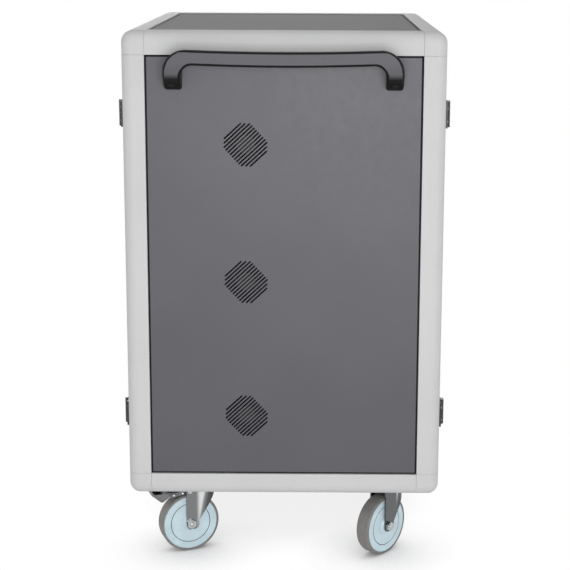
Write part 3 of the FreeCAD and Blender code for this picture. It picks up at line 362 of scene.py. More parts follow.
def handle_plastic_with_painted_shade(name, bar_low):
    """Grey on the outward face, with painted shade, near black, on the rounded edges and on the feet's
    downward faces.
    """
    finish = Finish.coat(name)
    sideways, upright = finish.axes(finish.node("ShaderNodeTexCoord", {}, {}).output("Normal"))[1:]
    y, z = finish.axes(finish.place())[1:]
    between_legs = 1.0 - finish.ramp(y.size(), *BETWEEN_LEGS)
    on_bar = finish.ramp(z, bar_low - BAR_SOFT, bar_low) * between_legs
    # Painted shade: near black where the surface turns sideways, or up or down along the bar, and where the
    # feet face down.
    tipped = sideways.size().larger(upright.size() * on_bar)
    rim = finish.ramp(tipped, *EDGE_TURN)
    foot = finish.ramp(upright * -1.0, *FOOT_TURN)
    tone = finish.noise(HANDLE_CLOUDS, 3.0)
    varied = finish.mix(tone, shaded(HANDLE_FACE, HANDLE_DARKER), HANDLE_FACE)
    pits = finish.node("ShaderNodeTexVoronoi", {"feature": "F1"}, {"Vector": finish.place(), "Scale": PITS})
    return finish.surface({
        "Base Color": finish.mix(rim.larger(foot), varied, HANDLE_PAINTED_SHADE),
        "Roughness": HANDLE_ROUGHNESS + GLOSS_SWING * tone,
        "Specular IOR Level": HANDLE_GLOSS,
        "Normal": finish.bump(pits.output("Distance"), HANDLE_RELIEF),
    })


handle_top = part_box("push_handle_right")[1][2]
handle_grey = handle_plastic_with_painted_shade("handle_grey", handle_top - HANDLE_BAR)
print("handle plastic:", handle_grey.name)

# %% Mix the plastics and rubbers
fan_black = moulded_plastic("fan_black", grey(0.01, (0.0, 0.0, 0.001)), 0.68)
power_black = moulded_plastic("power_black", grey(0.035, (0.0, 0.0, 0.003)), 0.48)
switch_black = moulded_plastic("switch_black", grey(0.02), 0.25, 0.01 * MM)
lock_black = moulded_plastic("lock_black", grey(0.028), 0.42)
wheel_plastic = moulded_plastic("wheel_plastic", (0.67, 0.83, 0.9, 1.0), 0.42, 0.02 * MM)
seal_rubber = rubber("seal_rubber", grey(0.015), roughness=0.75, gloss_level=0.12)
tyre_rubber = rubber("tyre_rubber", grey(0.2, (0.006, 0.0, -0.006)), roughness=0.62, gloss_level=0.5)
print("plastics and rubbers are mixed")

# %% [markdown]
# Metal
#
# The castors are zinc plated. Zinc has a bright, slightly blue grey shine with a fine grain from the
# pressing, and it dulls in cloudy patches. A fork has a painted highlight, a light band that runs down to the
# axle, and painted shade in front of it; a lamp can't give that, because an upright plate seen from above
# mirrors only the white floor. The band is wide on the front castors and narrow on the rear ones, whose plate
# is a darker grey as painted shade, as on the two that the photograph shows. Hinges are satin black.

# %% Zinc plate
METAL_CLOUDS = 45.0
CLOUD_DULL = (0.4, 0.75)
DRAWN_LINES = 70.0
DULL_LEVEL = 0.72
METAL_RELIEF = 0.03 * MM
DULL_ROUGHER = 0.14
DRAWN_ROUGHER = 0.08


def zinc_plate(name, level, roughness, grain):
    """Bright plated steel with cloudy dulling and a drawn grain."""
    finish = Finish.coat(name)
    drawn = finish.noise(DRAWN_LINES, 3.0, finish.stretched((1.0, 1.0, grain)))
    dull = finish.ramp(finish.noise(METAL_CLOUDS, 3.0), *CLOUD_DULL)
    bright = grey(level, (0.0, 0.006, 0.014))
    dark = grey(level * DULL_LEVEL, (0.0, 0.004, 0.01))
    return finish.surface({
        "Base Color": finish.mix(dull, bright, dark),
        "Metallic": 1.0,
        "Roughness": roughness + DULL_ROUGHER * dull + DRAWN_ROUGHER * drawn,
        "Normal": finish.bump(drawn, METAL_RELIEF),
    })


zinc = zinc_plate("zinc", level=0.5, roughness=0.18, grain=0.2)
pedal_steel = zinc_plate("pedal_steel", level=0.19, roughness=0.16, grain=0.2)
pin_steel = zinc_plate("pin_steel", level=0.3, roughness=0.3, grain=0.3)
print("zinc plate:", zinc.name, pedal_steel.name, pin_steel.name)

# %% Plate of the castor forks
# The rear forks' plate is a darker grey than the front ones': painted shade on the same zinc.
PLATE_LEVEL_LIT_AND_SHADED = {"front": 0.2, "rear": 0.13}
PLATE_TINT = (0.0, 0.004, 0.01)
# Painted highlight of the band, and painted shade in front of it.
PAINTED_HIGHLIGHT_GREY = grey(0.7)
PAINTED_SHADE_GREY = grey(0.09)
BAND_BACK = {"front": (9 * MM, 20 * MM), "rear": (0.0, 7 * MM)}
BAND_FRONT = -5 * MM
BAND_TOP = 135 * MM
BAND_SLANT = 0.21
BAND_SOFT = 7 * MM
FORK_ROUGHNESS = 0.18
FORK_ROUGHER = 0.16
UPWARD = Vector((0.0, 0.0, 1.0))


def fork_plate_with_painted_highlight(name, swivel, trail, end):
    """Plated fork with a painted highlight, a band that runs down towards the axle, and painted shade in
    front of it.
    """
    finish = Finish.coat(name)
    behind = finish.distance(swivel, trail)
    height = finish.distance((0.0, 0.0, 0.0), UPWARD)
    from_front = behind - BAND_FRONT - (BAND_TOP - height) * BAND_SLANT
    # band is the painted highlight; in front of it the plate turns to painted shade.
    band = finish.ramp(from_front, 0.0, BAND_SOFT) * (1.0 - finish.ramp(behind, *BAND_BACK[end]))
    plate_grey = grey(PLATE_LEVEL_LIT_AND_SHADED[end], PLATE_TINT)
    plate = finish.mix(finish.ramp(from_front, -BAND_SOFT, 0.0), PAINTED_SHADE_GREY, plate_grey)
    dull = finish.ramp(finish.noise(METAL_CLOUDS, 3.0), *CLOUD_DULL)
    return finish.surface({
        "Base Color": finish.mix(band, plate, PAINTED_HIGHLIGHT_GREY),
        "Metallic": 1.0,
        "Roughness": FORK_ROUGHNESS + FORK_ROUGHER * dull,
    })


fork_finishes = {}
for corner in CORNERS:
    swivel = Vector(joint_of["castor_" + corner + "_swivel"]["pos_m"])
    axle = Vector(joint_of["wheel_" + corner + "_roll"]["pos_m"])
    trail = Vector((axle.x - swivel.x, axle.y - swivel.y, 0.0)).normalized()
    end = corner.split("_")[0]
    fork_finishes["castor_fork_" + corner] = fork_plate_with_painted_highlight("fork_zinc_" + corner, swivel, trail, end)
print("fork plates:", len(fork_finishes))

# %% Black satin coat
SATIN_CLOUDS = 90.0
SATIN_GRAIN = 1200.0
SATIN_LIGHTER = 1.6
SATIN_SWING = 0.12


def satin_black(name, level, roughness):
    """Black coat with a soft sheen and slight unevenness."""
    finish = Finish.coat(name)
    cloud = finish.noise(SATIN_CLOUDS, 3.0)
    grain = finish.noise(SATIN_GRAIN, 1.0)
    return finish.surface({
        "Base Color": finish.mix(cloud, grey(level), grey(level * SATIN_LIGHTER)),
        "Roughness": roughness + SATIN_SWING * (cloud - 0.5),
        "Normal": finish.bump(grain, METAL_RELIEF),
    })


hinge_black = satin_black("hinge_black", level=0.012, roughness=0.36)
print("satin coat:", hinge_black.name)

# %% [markdown]
# Dressing the parts
#
# Each part of the frame names the slot that its finish belongs to, so one table from slot to finish dresses
# them all. The top and the forks have a finish of their own, because their painted shade and highlight depend
# on where the part lies.

# %% Give each node its finish
FINISH_OF_SLOT = {
    "frame_grey": frame_coat,
    "panel_grey": panel_coat,
    "door_grey": panel_coat,
    "seal_black": seal_rubber,
    "handle_grey": handle_grey,
    "fan_black": fan_black,
    "power_black": power_black,
    "switch_black": switch_black,
    "hinge_black": hinge_black,
    "pin_steel": pin_steel,
    "lock_black": lock_black,
    "zinc": zinc,
    "wheel_blue_grey": wheel_plastic,
    "tyre_grey": tyre_rubber,
    "pedal_steel": pedal_steel,
}
slot_of_node = {part["node"]: part["material_slot"] for part in frame["record"]["subparts"]}
finish_of_node = {"top_panel": painted_top_coat, **fork_finishes}
for name, piece in nodes.items():
    piece.data.materials.clear()
    piece.data.materials.append(finish_of_node.get(name) or FINISH_OF_SLOT[slot_of_node[name]])
print("finishes given to", len(nodes), "nodes")

# %% [markdown]
# Small fittings
#
# The construction holds every part that carries load or moves. What is left are the small fittings that make
# the cabinet believable close up: screw caps, screw heads, key cylinders, rivets, pedal cheeks, wheel rings,
# socket faces, grommets and the display. Each starts as a primitive and is shaped in edit mode, as by hand,
# only once; its copies get meshes of their own.

# %% Tools for picking and pushing faces
FLAT_ENOUGH = 0.9
SAME_LEVEL = 0.01 * MM


def start_edit(piece):
    """Goes into edit mode on one piece, with nothing picked."""
    bpy.ops.object.select_all(action="DESELECT")
    bpy.context.view_layer.objects.active = piece
    piece.select_set(True)
    bpy.ops.object.mode_set(mode="EDIT")
    bpy.ops.mesh.select_mode(type="FACE")
    bpy.ops.mesh.select_all(action="DESELECT")


def end_edit():
    """Goes back to object mode."""
    bpy.ops.object.mode_set(mode="OBJECT")


def pick_faces(piece, wanted):
    """Selects the faces for which wanted(face) is true, from edit mode."""
    end_edit()
    for face in piece.data.polygons:
        face.select = bool(wanted(face))
    bpy.ops.object.mode_set(mode="EDIT")


def top_faces(piece):
    """Picks the flat faces at the piece's highest level."""
    level = max(corner.co.z for corner in piece.data.vertices)
    pick_faces(piece, lambda face: face.normal.z > FLAT_ENOUGH and face.center.z > level - SAME_LEVEL)


def inset(thickness, depth=0.0):
    """Draws the picked faces in, and out along their normal by depth."""
    bpy.ops.mesh.inset(thickness=thickness, depth=depth)


def extrude(height):
    """Pushes the picked faces along Z."""
    bpy.ops.mesh.extrude_region_move(TRANSFORM_OT_translate={"value": (0.0, 0.0, height)})


print("faces can be picked, inset and extruded")

# %% Tools for the first shape and the last edges
SHARP_ANGLE = math.radians(40.0)


def round_disc(name, radius, height, sides=32):
    """Cylinder standing on the origin along Z, to be shaped further."""
    middle = (0.0, 0.0, height / 2)
    bpy.ops.object.select_all(action="DESELECT")
    bpy.ops.mesh.primitive_cylinder_add(vertices=sides, radius=radius, depth=height, location=middle)
    bpy.ops.object.transform_apply(location=True, rotation=True, scale=True)
    piece = bpy.context.object
    piece.name = name
    return piece


def square_block(name, length, width, height):
    """Block standing on the origin along Z, to be shaped further."""
    middle = (0.0, 0.0, height / 2)
    bpy.ops.object.select_all(action="DESELECT")
    bpy.ops.mesh.primitive_cube_add(size=1.0, location=middle, scale=(length, width, height))
    bpy.ops.object.transform_apply(location=True, rotation=True, scale=True)
    piece = bpy.context.object
    piece.name = name
    return piece


def soften(piece, width, segments=2):
    """Rounds all sharp edges with a bevel and applies it."""
    bevel = piece.modifiers.new("soft edges", "BEVEL")
    bevel.width = width
    bevel.segments = segments
    bevel.limit_method = "ANGLE"
    bevel.angle_limit = SHARP_ANGLE
    bpy.context.view_layer.objects.active = piece
    bpy.ops.object.modifier_apply(modifier=bevel.name)
    for face in piece.data.polygons:
        face.use_smooth = True
    weighted = piece.modifiers.new("flat faces", "WEIGHTED_NORMAL")
    bpy.ops.object.modifier_apply(modifier=weighted.name)


def clear_away(pattern):
    """Removes a pattern or a cutter that has done its work."""
    bpy.data.objects.remove(pattern, do_unlink=True)


def cut(piece, cutter):
    """Takes a cutter's shape out of a piece."""
    difference = piece.modifiers.new("cut", "BOOLEAN")
    difference.operation = "DIFFERENCE"
    difference.object = cutter
    bpy.ops.object.select_all(action="DESELECT")
    bpy.context.view_layer.objects.active = piece
    piece.select_set(True)
    bpy.ops.object.modifier_apply(modifier=difference.name)
    clear_away(cutter)


print("edges can be softened and holes cut")


# %% Tool for setting copies in place
def set_down(pattern, name, body, slot, places):
    """Copies a pattern to each place, joins the copies and lets them ride with a body.

    A place is a point and the direction that the pattern's Z axis shall have there.
    """
    copies = []
    for point, direction in places:
        copy = pattern.copy()
        copy.data = pattern.data.copy()
        bpy.context.collection.objects.link(copy)
        copy.location = point
        copy.rotation_euler = Vector(direction).to_track_quat("Z", "Y").to_euler()
        copies.append(copy)
    bpy.ops.object.select_all(action="DESELECT")
    for copy in copies:
        copy.select_set(True)
    bpy.context.view_layer.objects.active = copies[0]
    if len(copies) > 1:
        bpy.ops.object.join()
    bpy.ops.object.transform_apply(location=True, rotation=True, scale=True)
    piece = bpy.context.object
    piece.name = name
    piece.data.materials.clear()
    piece.data.materials.append(FINISH_OF_SLOT[slot])
    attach(piece, body)
    print(name + ":", len(copies), "copies,", len(piece.data.polygons), "faces, ride with", body)


print("copies can be set in place")

# %% [markdown]
# Screw caps on the handles
#
# A bolt in each foot holds the handle, and a round cap hides it. A plain disc would look painted on, so the
# cap has a rim and a dished middle, made by two insets and a push. The foot's outside is an arc, so the cap
# sits square to that arc, a little below its middle.

# %% Screw caps on the handles
CAP_RADIUS = 6.5 * MM
CAP_HEIGHT = 2.2 * MM
CAP_RIM = 1.2 * MM
CAP_STEP = 0.5 * MM
CAP_DISH = 0.6 * MM
CAP_EDGE = 0.35 * MM
CAP_SINK = 0.9 * MM
CAP_TURN = math.radians(52.0)
FOOT_ARC = 56.84 * MM
HANDLE_LEG = 33.5 * MM

cap = round_disc("cap_pattern", CAP_RADIUS, CAP_HEIGHT)
start_edit(cap)
top_faces(cap)
inset(CAP_RIM)
inset(CAP_STEP)
extrude(-CAP_DISH)
end_edit()
soften(cap, CAP_EDGE)
for side, end in ((1, "right"), (-1, "left")):
    box_low, box_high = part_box("push_handle_" + end)
    outmost = box_high[0] if side > 0 else box_low[0]
    leg_middle = box_high[1] - HANDLE_LEG / 2
    out = Vector((side * math.cos(CAP_TURN), 0.0, -math.sin(CAP_TURN)))
    hub = Vector((outmost - side * FOOT_ARC, 0.0, box_low[2] + FOOT_ARC))
    seat = hub + out * (FOOT_ARC - CAP_SINK)
    spots = [(seat + Vector((0.0, y, 0.0)), out) for y in (-leg_middle, leg_middle)]
    set_down(cap, "handle_caps_" + end, "cabinet", "seal_black", spots)
clear_away(cap)

# %% [markdown]
# Hinge screws
#
# Each hinge leaf is held by two screws with a cross recess. A picture of a cross would stay flat when seen
# from the side, so the cross is cut: the head is a disc drawn up to a shallow dome, and two thin blocks are
# taken out of it.

# %% Hinge screws
SCREW_RADIUS = 3.4 * MM
SCREW_HEIGHT = 0.9 * MM
SCREW_SPREAD = 13.0 * MM
DOME_DRAW = 0.9 * MM
DOME_RISE = 0.25 * MM
CROSS_LONG = 3.6 * MM
CROSS_WIDE = 0.8 * MM
CROSS_FLOOR = 0.45 * MM
HINGE_LEAF = 4.0 * MM
HINGE_ARM = 15.5 * MM
HINGE_TALL = 51.0 * MM

screw = round_disc("screw_pattern", SCREW_RADIUS, SCREW_HEIGHT, sides=24)
start_edit(screw)
top_faces(screw)
inset(DOME_DRAW, DOME_RISE)
end_edit()
for length, width in ((CROSS_LONG, CROSS_WIDE), (CROSS_WIDE, CROSS_LONG)):
    slit = square_block("slit", length, width, SCREW_HEIGHT * 2)
    slit.location = (0.0, 0.0, CROSS_FLOOR)
    cut(screw, slit)
print("screw pattern:", len(screw.data.polygons), "faces")

# %% Screws on both leaves of each hinge
hinge_low, hinge_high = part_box("hinge_leaves_posts")
pin_low, pin_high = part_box("hinge_pins")
hinge_x = (pin_low[0] + pin_high[0]) / 2
levels = (hinge_low[2] + HINGE_TALL / 2, hinge_high[2] - HINGE_TALL / 2)
leaf_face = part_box("posts_rear")[1][1] + HINGE_LEAF
heights = [level + step * SCREW_SPREAD for level in levels for step in (-1, 1)]
post_spots = []
for sign, door_name in ((-1, "device_door"), (1, "service_door")):
    out = (0.0, sign, 0.0)
    post_spots += [(Vector((hinge_x + HINGE_ARM, sign * leaf_face, z)), out) for z in heights]
    spots = [(Vector((hinge_x - HINGE_ARM, sign * leaf_face, z)), out) for z in heights]
    set_down(screw, door_name + "_screws", door_name, "pin_steel", spots)
set_down(screw, "post_screws", "cabinet", "pin_steel", post_spots)
clear_away(screw)

# %% [markdown]
# Key cylinders
#
# Below each swing lever sits the key cylinder of its lock: a turned collar with a raised core and a key slit.
# It could be spun from an outline, but insets and pushes on a disc's face give the same steps with fewer
# points. The slit is cut last.

# %% Key cylinders
KEY_RADIUS = 9.5 * MM
KEY_HEIGHT = 2.4 * MM
KEY_RIM = 1.6 * MM
KEY_STEP = 0.4 * MM
KEY_GROOVE = 0.8 * MM
KEY_CORE = 1.2 * MM
KEY_EDGE = 0.2 * MM
KEY_SLIT_WIDE = 1.6 * MM
KEY_SLIT_LONG = 8.0 * MM
KEY_SLIT_FLOOR = 1.44 * MM
KEY_RISE = 21.0 * MM

collar = round_disc("key_pattern", KEY_RADIUS, KEY_HEIGHT, sides=40)
start_edit(collar)
top_faces(collar)
inset(KEY_RIM)
inset(KEY_STEP)
extrude(-KEY_GROOVE)
inset(KEY_STEP)
extrude(KEY_CORE)
end_edit()
slit = square_block("key_slit", KEY_SLIT_WIDE, KEY_SLIT_LONG, KEY_HEIGHT * 2)
slit.location = (0.0, 0.0, KEY_SLIT_FLOOR)
cut(collar, slit)
soften(collar, KEY_EDGE, 1)
for sign, end, door_name in ((-1, "front", "device_door"), (1, "rear", "service_door")):
    plate_low, plate_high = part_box("lock_plate_" + end)
    face_y = plate_low[1] if sign < 0 else plate_high[1]
    spot = Vector(((plate_low[0] + plate_high[0]) / 2, face_y, plate_low[2] + KEY_RISE))
    set_down(collar, "key_cylinder_" + end, door_name, "pin_steel", [(spot, (0.0, sign, 0.0))])
clear_away(collar)

# %% [markdown]
# Brake pins
#
# The pin that a brake pedal turns on is riveted over at both ends, just clear of the fork. A squashed ball
# would have no rim, so a rivet head is a disc whose top is drawn in and raised in three steps. It turns with
# the pedal.

# %% Rivet heads on the brake pins
RIVET_RADIUS = 5.2 * MM
RIVET_RIM = 0.8 * MM
RIVET_STEPS = ((0.7 * MM, 0.8 * MM), (1.1 * MM, 0.6 * MM), (1.4 * MM, 0.3 * MM))
RIVET_EDGE = 0.2 * MM
PIN_END = 21.55 * MM
BRAKED = ("front_right", "front_left")


def dome_head(name, radius):
    """Low dome on a thin rim, as a rivet has."""
    head = round_disc(name, radius, RIVET_RIM, sides=28)
    start_edit(head)
    for draw, rise in RIVET_STEPS:
        top_faces(head)
        inset(draw, rise)
    end_edit()
    soften(head, RIVET_EDGE, 1)
    return head


def pedal_frame(corner):
    """A pedal's pivot, and the direction of its pin."""
    joint = joint_of["pedal_" + corner + "_press"]
    return Vector(joint["pos_m"]), Vector(joint["axis"]).normalized()


rivet = dome_head("rivet_pattern", RIVET_RADIUS)
for corner in BRAKED:
    pivot, along = pedal_frame(corner)
    spots = [(pivot + along * PIN_END * step, along * step) for step in (-1, 1)]
    set_down(rivet, "brake_rivets_" + corner, "pedal_" + corner, "zinc", spots)
clear_away(rivet)

# %% [markdown]
# Cheeks of the brake pedals
#
# The pedal's bent plate has cheeks on both sides: one fills the bend of the step, and a longer one links it
# to the pivot, with two studs. A cheek is a flat plate with four corners. A block could be cut to that
# outline, but it is quicker to move a small block's corners to their places. Their first value runs back from
# the pedal's pivot, the second up from it.

# %% Tool for a plate with four corners
UNIT_BLOCK = 1.0 * MM
NEAR_CORNER = 0.1 * MM
BLOCK_CORNERS = ((-0.5, -0.5), (0.5, -0.5), (0.5, 0.5), (-0.5, 0.5))


def pick_points(piece, wanted):
    """Selects the points for which wanted(place) is true, from edit mode."""
    end_edit()
    for item in list(piece.data.polygons) + list(piece.data.edges):
        item.select = False
    for point in piece.data.vertices:
        point.select = bool(wanted(point.co))
    bpy.ops.object.mode_set(mode="EDIT")


def four_sided(name, corners, thickness):
    """Plate on the XY plane with four corners, in millimetres, anticlockwise from the lower left."""
    plate = square_block(name, UNIT_BLOCK, UNIT_BLOCK, thickness)
    start_edit(plate)
    bpy.ops.mesh.select_mode(type="VERT")
    for start, corner in zip(BLOCK_CORNERS, corners):
        home = Vector(start) * UNIT_BLOCK
        move = Vector(corner) * MM - home
        pick_points(plate, lambda place: (place.xy - home).length < NEAR_CORNER)
        bpy.ops.transform.translate(value=(move.x, move.y, 0.0))
    bpy.ops.mesh.select_mode(type="FACE")
    end_edit()
    return plate


print("plates with four corners can be made")

# %% Cheeks of the brake pedals
CHEEK_SHEET = 1.6 * MM
CHEEK_EDGE = 0.4 * MM
CHEEK_CORNERS = {
    "step": ((40.0, -4.5), (59.0, -17.5), (77.5, 0.0), (26.0, -0.5)),
    "link": ((-4.0, -4.5), (38.0, -11.5), (46.0, -2.0), (-4.0, 1.5)),
}
PEDAL_HALF = 15.0 * MM

for part, corners in CHEEK_CORNERS.items():
    cheek = four_sided("cheek_pattern", corners, CHEEK_SHEET)
    soften(cheek, CHEEK_EDGE)
    for corner in BRAKED:
        pivot, along = pedal_frame(corner)
        spots = [(pivot + along * start, -along) for start in (PEDAL_HALF, CHEEK_SHEET - PEDAL_HALF)]
        set_down(cheek, "pedal_" + part + "_cheeks_" + corner, "pedal_" + corner, "pedal_steel", spots)
    clear_away(cheek)

# %% Studs on the cheeks
STUD_RADIUS = 3.6 * MM
STUD_PLACES = ((14.0 * MM, -3.8 * MM), (33.0 * MM, -6.0 * MM))

stud = dome_head("stud_pattern", STUD_RADIUS)
for corner in BRAKED:
    pivot, along = pedal_frame(corner)
    back = along.cross(UPWARD)
    spots = []
    for step in (-1, 1):
        face_middle = pivot + along * PEDAL_HALF * step
        spots += [(face_middle + back * run + UPWARD * rise, along * step) for run, rise in STUD_PLACES]
    set_down(stud, "pedal_studs_" + corner, "pedal_" + corner, "zinc", spots)
clear_away(stud)

# %% [markdown]
# Noses on the axles
#
# An axle's bolt ends in a small rounded nose, which catches a point of light in the photograph. The hexagons
# are in the CAD parts already. A bevel on them would shine all round, so the dome that the studs have is set
# on both ends.

# %% Noses on the axles
NOSE_RADIUS = 4.4 * MM
AXLE_ENDS = {1: 27.5 * MM, -1: 29.5 * MM}

nose = dome_head("nose_pattern", NOSE_RADIUS)
for corner in CORNERS:
    joint = joint_of["wheel_" + corner + "_roll"]
    middle = Vector(joint["pos_m"])
    across = Vector(joint["axis"]).normalized()
    spots = [(middle + across * step * reach, across * step) for step, reach in AXLE_ENDS.items()]
    set_down(nose, "axle_noses_" + corner, "castor_" + corner, "zinc", spots)
clear_away(nose)

# %% [markdown]
# Rings on the wheels
#
# A thin dark ring lies in the groove on both sides of each wheel's disc. A torus would be round, and this one
# is flat, so it is a disc with its middle cut out, softened at the edges.

# %% Rings on the wheels
RING_OUTER = 42.9 * MM
RING_INNER = 41.7 * MM
RING_HEIGHT = 1.2 * MM
RING_EDGE = 0.1 * MM
RING_SIDES = 72
RING_SEAT = 13.7 * MM

ring = round_disc("ring_pattern", RING_OUTER, RING_HEIGHT, sides=RING_SIDES)
middle_cut = round_disc("ring_middle", RING_INNER, RING_HEIGHT * 3, sides=RING_SIDES)
middle_cut.location = (0.0, 0.0, -RING_HEIGHT)
cut(ring, middle_cut)
soften(ring, RING_EDGE, 1)
for corner in CORNERS:
    wheel = joint_of["wheel_" + corner + "_roll"]
    along = Vector(wheel["axis"]).normalized()
    hub = Vector(wheel["pos_m"])
    spots = [(hub + along * RING_SEAT * step, along * step) for step in (-1, 1)]
    set_down(ring, "wheel_rings_" + corner, "wheel_" + corner, "seal_black", spots)
clear_away(ring)

# %% [markdown]
# Socket faces
#
# Every power strip has eight sockets. The face is a dished disc with two pin holes, moulded in one with a low
# rim. The dish is drawn in by insets, which keep its rim even; the pin holes are off the middle, so they are
# cut.

# %% Socket faces
SOCKETS = 8
SOCKET_PITCH = 50.0 * MM
FACE_RADIUS = 18.6 * MM
FACE_HEIGHT = 2.6 * MM
FACE_RIM = 1.8 * MM
FACE_STEP = 0.6 * MM
FACE_DISH = 1.6 * MM
FACE_EDGE = 0.25 * MM
PIN_HOLE = 2.4 * MM
PIN_HOLE_OFFSET = 9.5 * MM
PIN_HOLE_FLOOR = 0.26 * MM
STRIP_TALL = 56.0 * MM
CHANNEL = 13.0 * MM

face = round_disc("socket_pattern", FACE_RADIUS, FACE_HEIGHT, sides=48)
start_edit(face)
top_faces(face)
inset(FACE_RIM)
inset(FACE_STEP)
extrude(-FACE_DISH)
end_edit()
for step in (-1, 1):
    hole = round_disc("pin_hole", PIN_HOLE, FACE_HEIGHT * 3, sides=20)
    hole.location = (step * PIN_HOLE_OFFSET, 0.0, PIN_HOLE_FLOOR)
    cut(face, hole)
soften(face, FACE_EDGE, 1)
print("socket pattern:", len(face.data.polygons), "faces")

# %% Socket faces along the strips
strip_low, strip_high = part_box("socket_strips")
strip_x = (strip_low[0] + strip_high[0]) / 2
lowest = strip_low[2] + STRIP_TALL / 2
highest = strip_high[2] - STRIP_TALL / 2
strip_levels = (lowest, (lowest + highest) / 2, highest)
face_y = strip_high[1] - CHANNEL
columns = [strip_x + (index - (SOCKETS - 1) / 2) * SOCKET_PITCH for index in range(SOCKETS)]
spots = [(Vector((x, face_y, z)), (0.0, 1.0, 0.0)) for z in strip_levels for x in columns]
set_down(face, "socket_faces", "cabinet", "switch_black", spots)
clear_away(face)

# %% [markdown]
# Contact blades
#
# The appliance inlet in the far end has three flat contact blades in a row, with tapered tips. A wide bevel
# would thin the blade on all its edges, so a narrow block's end is drawn out a little and made smaller for
# the tip.

# %% Contact blades in the mains inlet
BLADE_THICK = 2.0 * MM
BLADE_WIDE = 5.0 * MM
BLADE_LONG = 15.0 * MM
BLADE_TIP = 1.2 * MM
BLADE_EDGE = 0.2 * MM
TIP_SCALE = (0.5, 0.8, 1.0)
BLADE_PITCH = 9.0 * MM
INLET_CAVITY = 20.0 * MM

blade = square_block("blade_pattern", BLADE_THICK, BLADE_WIDE, BLADE_LONG)
start_edit(blade)
top_faces(blade)
extrude(BLADE_TIP)
bpy.ops.transform.resize(value=TIP_SCALE)
end_edit()
soften(blade, BLADE_EDGE, 1)
inlet_low, inlet_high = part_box("mains_inlet")
inlet_y = (inlet_low[1] + inlet_high[1]) / 2
inlet_z = (inlet_low[2] + inlet_high[2]) / 2
back_x = inlet_low[0] + INLET_CAVITY
spots = [(Vector((back_x, inlet_y + step * BLADE_PITCH, inlet_z)), (-1.0, 0.0, 0.0)) for step in (-1, 0, 1)]
set_down(blade, "inlet_blades", "cabinet", "zinc", spots)
clear_away(blade)

# %% [markdown]
# Cable grommets
#
# The cables pass from the slots through round holes in the bulkhead. A rubber grommet lines each hole: a ring
# with a lip on both sides of the sheet. A torus would leave no flat lip, so it is a thick disc with a bore,
# rounded on all its edges.

# %% Cable grommets
GROMMET_RADIUS = 16.0 * MM
GROMMET_HEIGHT = 5.0 * MM
GROMMET_BORE = 10.5 * MM
GROMMET_EDGE = 1.2 * MM
SLOTS = 8
CABLE_RISE = 210.0 * MM
SHELF_NAMES = ("shelf_lower", "shelf_middle", "shelf_upper")

grommet = round_disc("grommet_pattern", GROMMET_RADIUS, GROMMET_HEIGHT)
bore = round_disc("grommet_bore", GROMMET_BORE, GROMMET_HEIGHT * 3)
bore.location = (0.0, 0.0, -GROMMET_HEIGHT)
cut(grommet, bore)
soften(grommet, GROMMET_EDGE)
wall_low, wall_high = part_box("bulkhead")
wall_middle = (wall_low[1] + wall_high[1]) / 2 - GROMMET_HEIGHT / 2
pitch = (wall_high[0] - wall_low[0]) / SLOTS
columns = [wall_low[0] + (index + 0.5) * pitch for index in range(SLOTS)]
levels = [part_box(name)[1][2] + CABLE_RISE for name in SHELF_NAMES]
spots = [(Vector((x, wall_middle, z)), (0.0, 1.0, 0.0)) for z in levels for x in columns]
set_down(grommet, "cable_grommets", "cabinet", "seal_black", spots)
clear_away(grommet)

# %% [markdown]
# The control unit's face
#
# The unit that shares out the charging has a small display behind a raised frame, and three push buttons. The
# frame and the glass could be two pieces, but one block whose face is inset and pushed in leaves no gap to
# fit. A button is a disc that steps up.

# %% Display of the control unit
DISPLAY_LONG = 66.0 * MM
DISPLAY_TALL = 34.0 * MM
DISPLAY_HEIGHT = 2.4 * MM
DISPLAY_RIM = 4.0 * MM
DISPLAY_SINK = 1.2 * MM
DISPLAY_EDGE = 0.5 * MM
DISPLAY_INSET = 50.0 * MM
DISPLAY_RISE = 22.0 * MM

unit_low, unit_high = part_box("control_unit")
unit_z = (unit_low[2] + unit_high[2]) / 2
outward = (0.0, 1.0, 0.0)
display = square_block("display_pattern", DISPLAY_LONG, DISPLAY_TALL, DISPLAY_HEIGHT)
start_edit(display)
top_faces(display)
inset(DISPLAY_RIM)
extrude(-DISPLAY_SINK)
end_edit()
soften(display, DISPLAY_EDGE)
display_spot = Vector((unit_high[0] - DISPLAY_INSET, unit_high[1], unit_z + DISPLAY_RISE))
set_down(display, "unit_display", "cabinet", "switch_black", [(display_spot, outward)])
clear_away(display)

# %% Buttons of the control unit
BUTTON_RADIUS = 6.5 * MM
BUTTON_COLLAR = 2.0 * MM
BUTTON_RIM = 1.4 * MM
BUTTON_STEP = 0.3 * MM
BUTTON_RISE = 1.6 * MM
BUTTON_DRAW = 1.2 * MM
BUTTON_DISH = 0.3 * MM
BUTTON_EDGE = 0.3 * MM
BUTTON_PITCH = 21.0 * MM
BUTTON_DROP = 46.0 * MM

button = round_disc("button_pattern", BUTTON_RADIUS, BUTTON_COLLAR, sides=28)
start_edit(button)
top_faces(button)
inset(BUTTON_RIM)
inset(BUTTON_STEP)
extrude(BUTTON_RISE)
inset(BUTTON_DRAW, -BUTTON_DISH)
end_edit()
soften(button, BUTTON_EDGE)
middle_button = display_spot - Vector((0.0, 0.0, BUTTON_DROP))
spots = [(middle_button + Vector((step * BUTTON_PITCH, 0.0, 0.0)), outward) for step in (-1, 0, 1)]
# The buttons take the handle's finish, so their faces, which point sideways, get its painted edge shade and
# come out near black.
set_down(button, "unit_buttons", "cabinet", "handle_grey", spots)
clear_away(button)

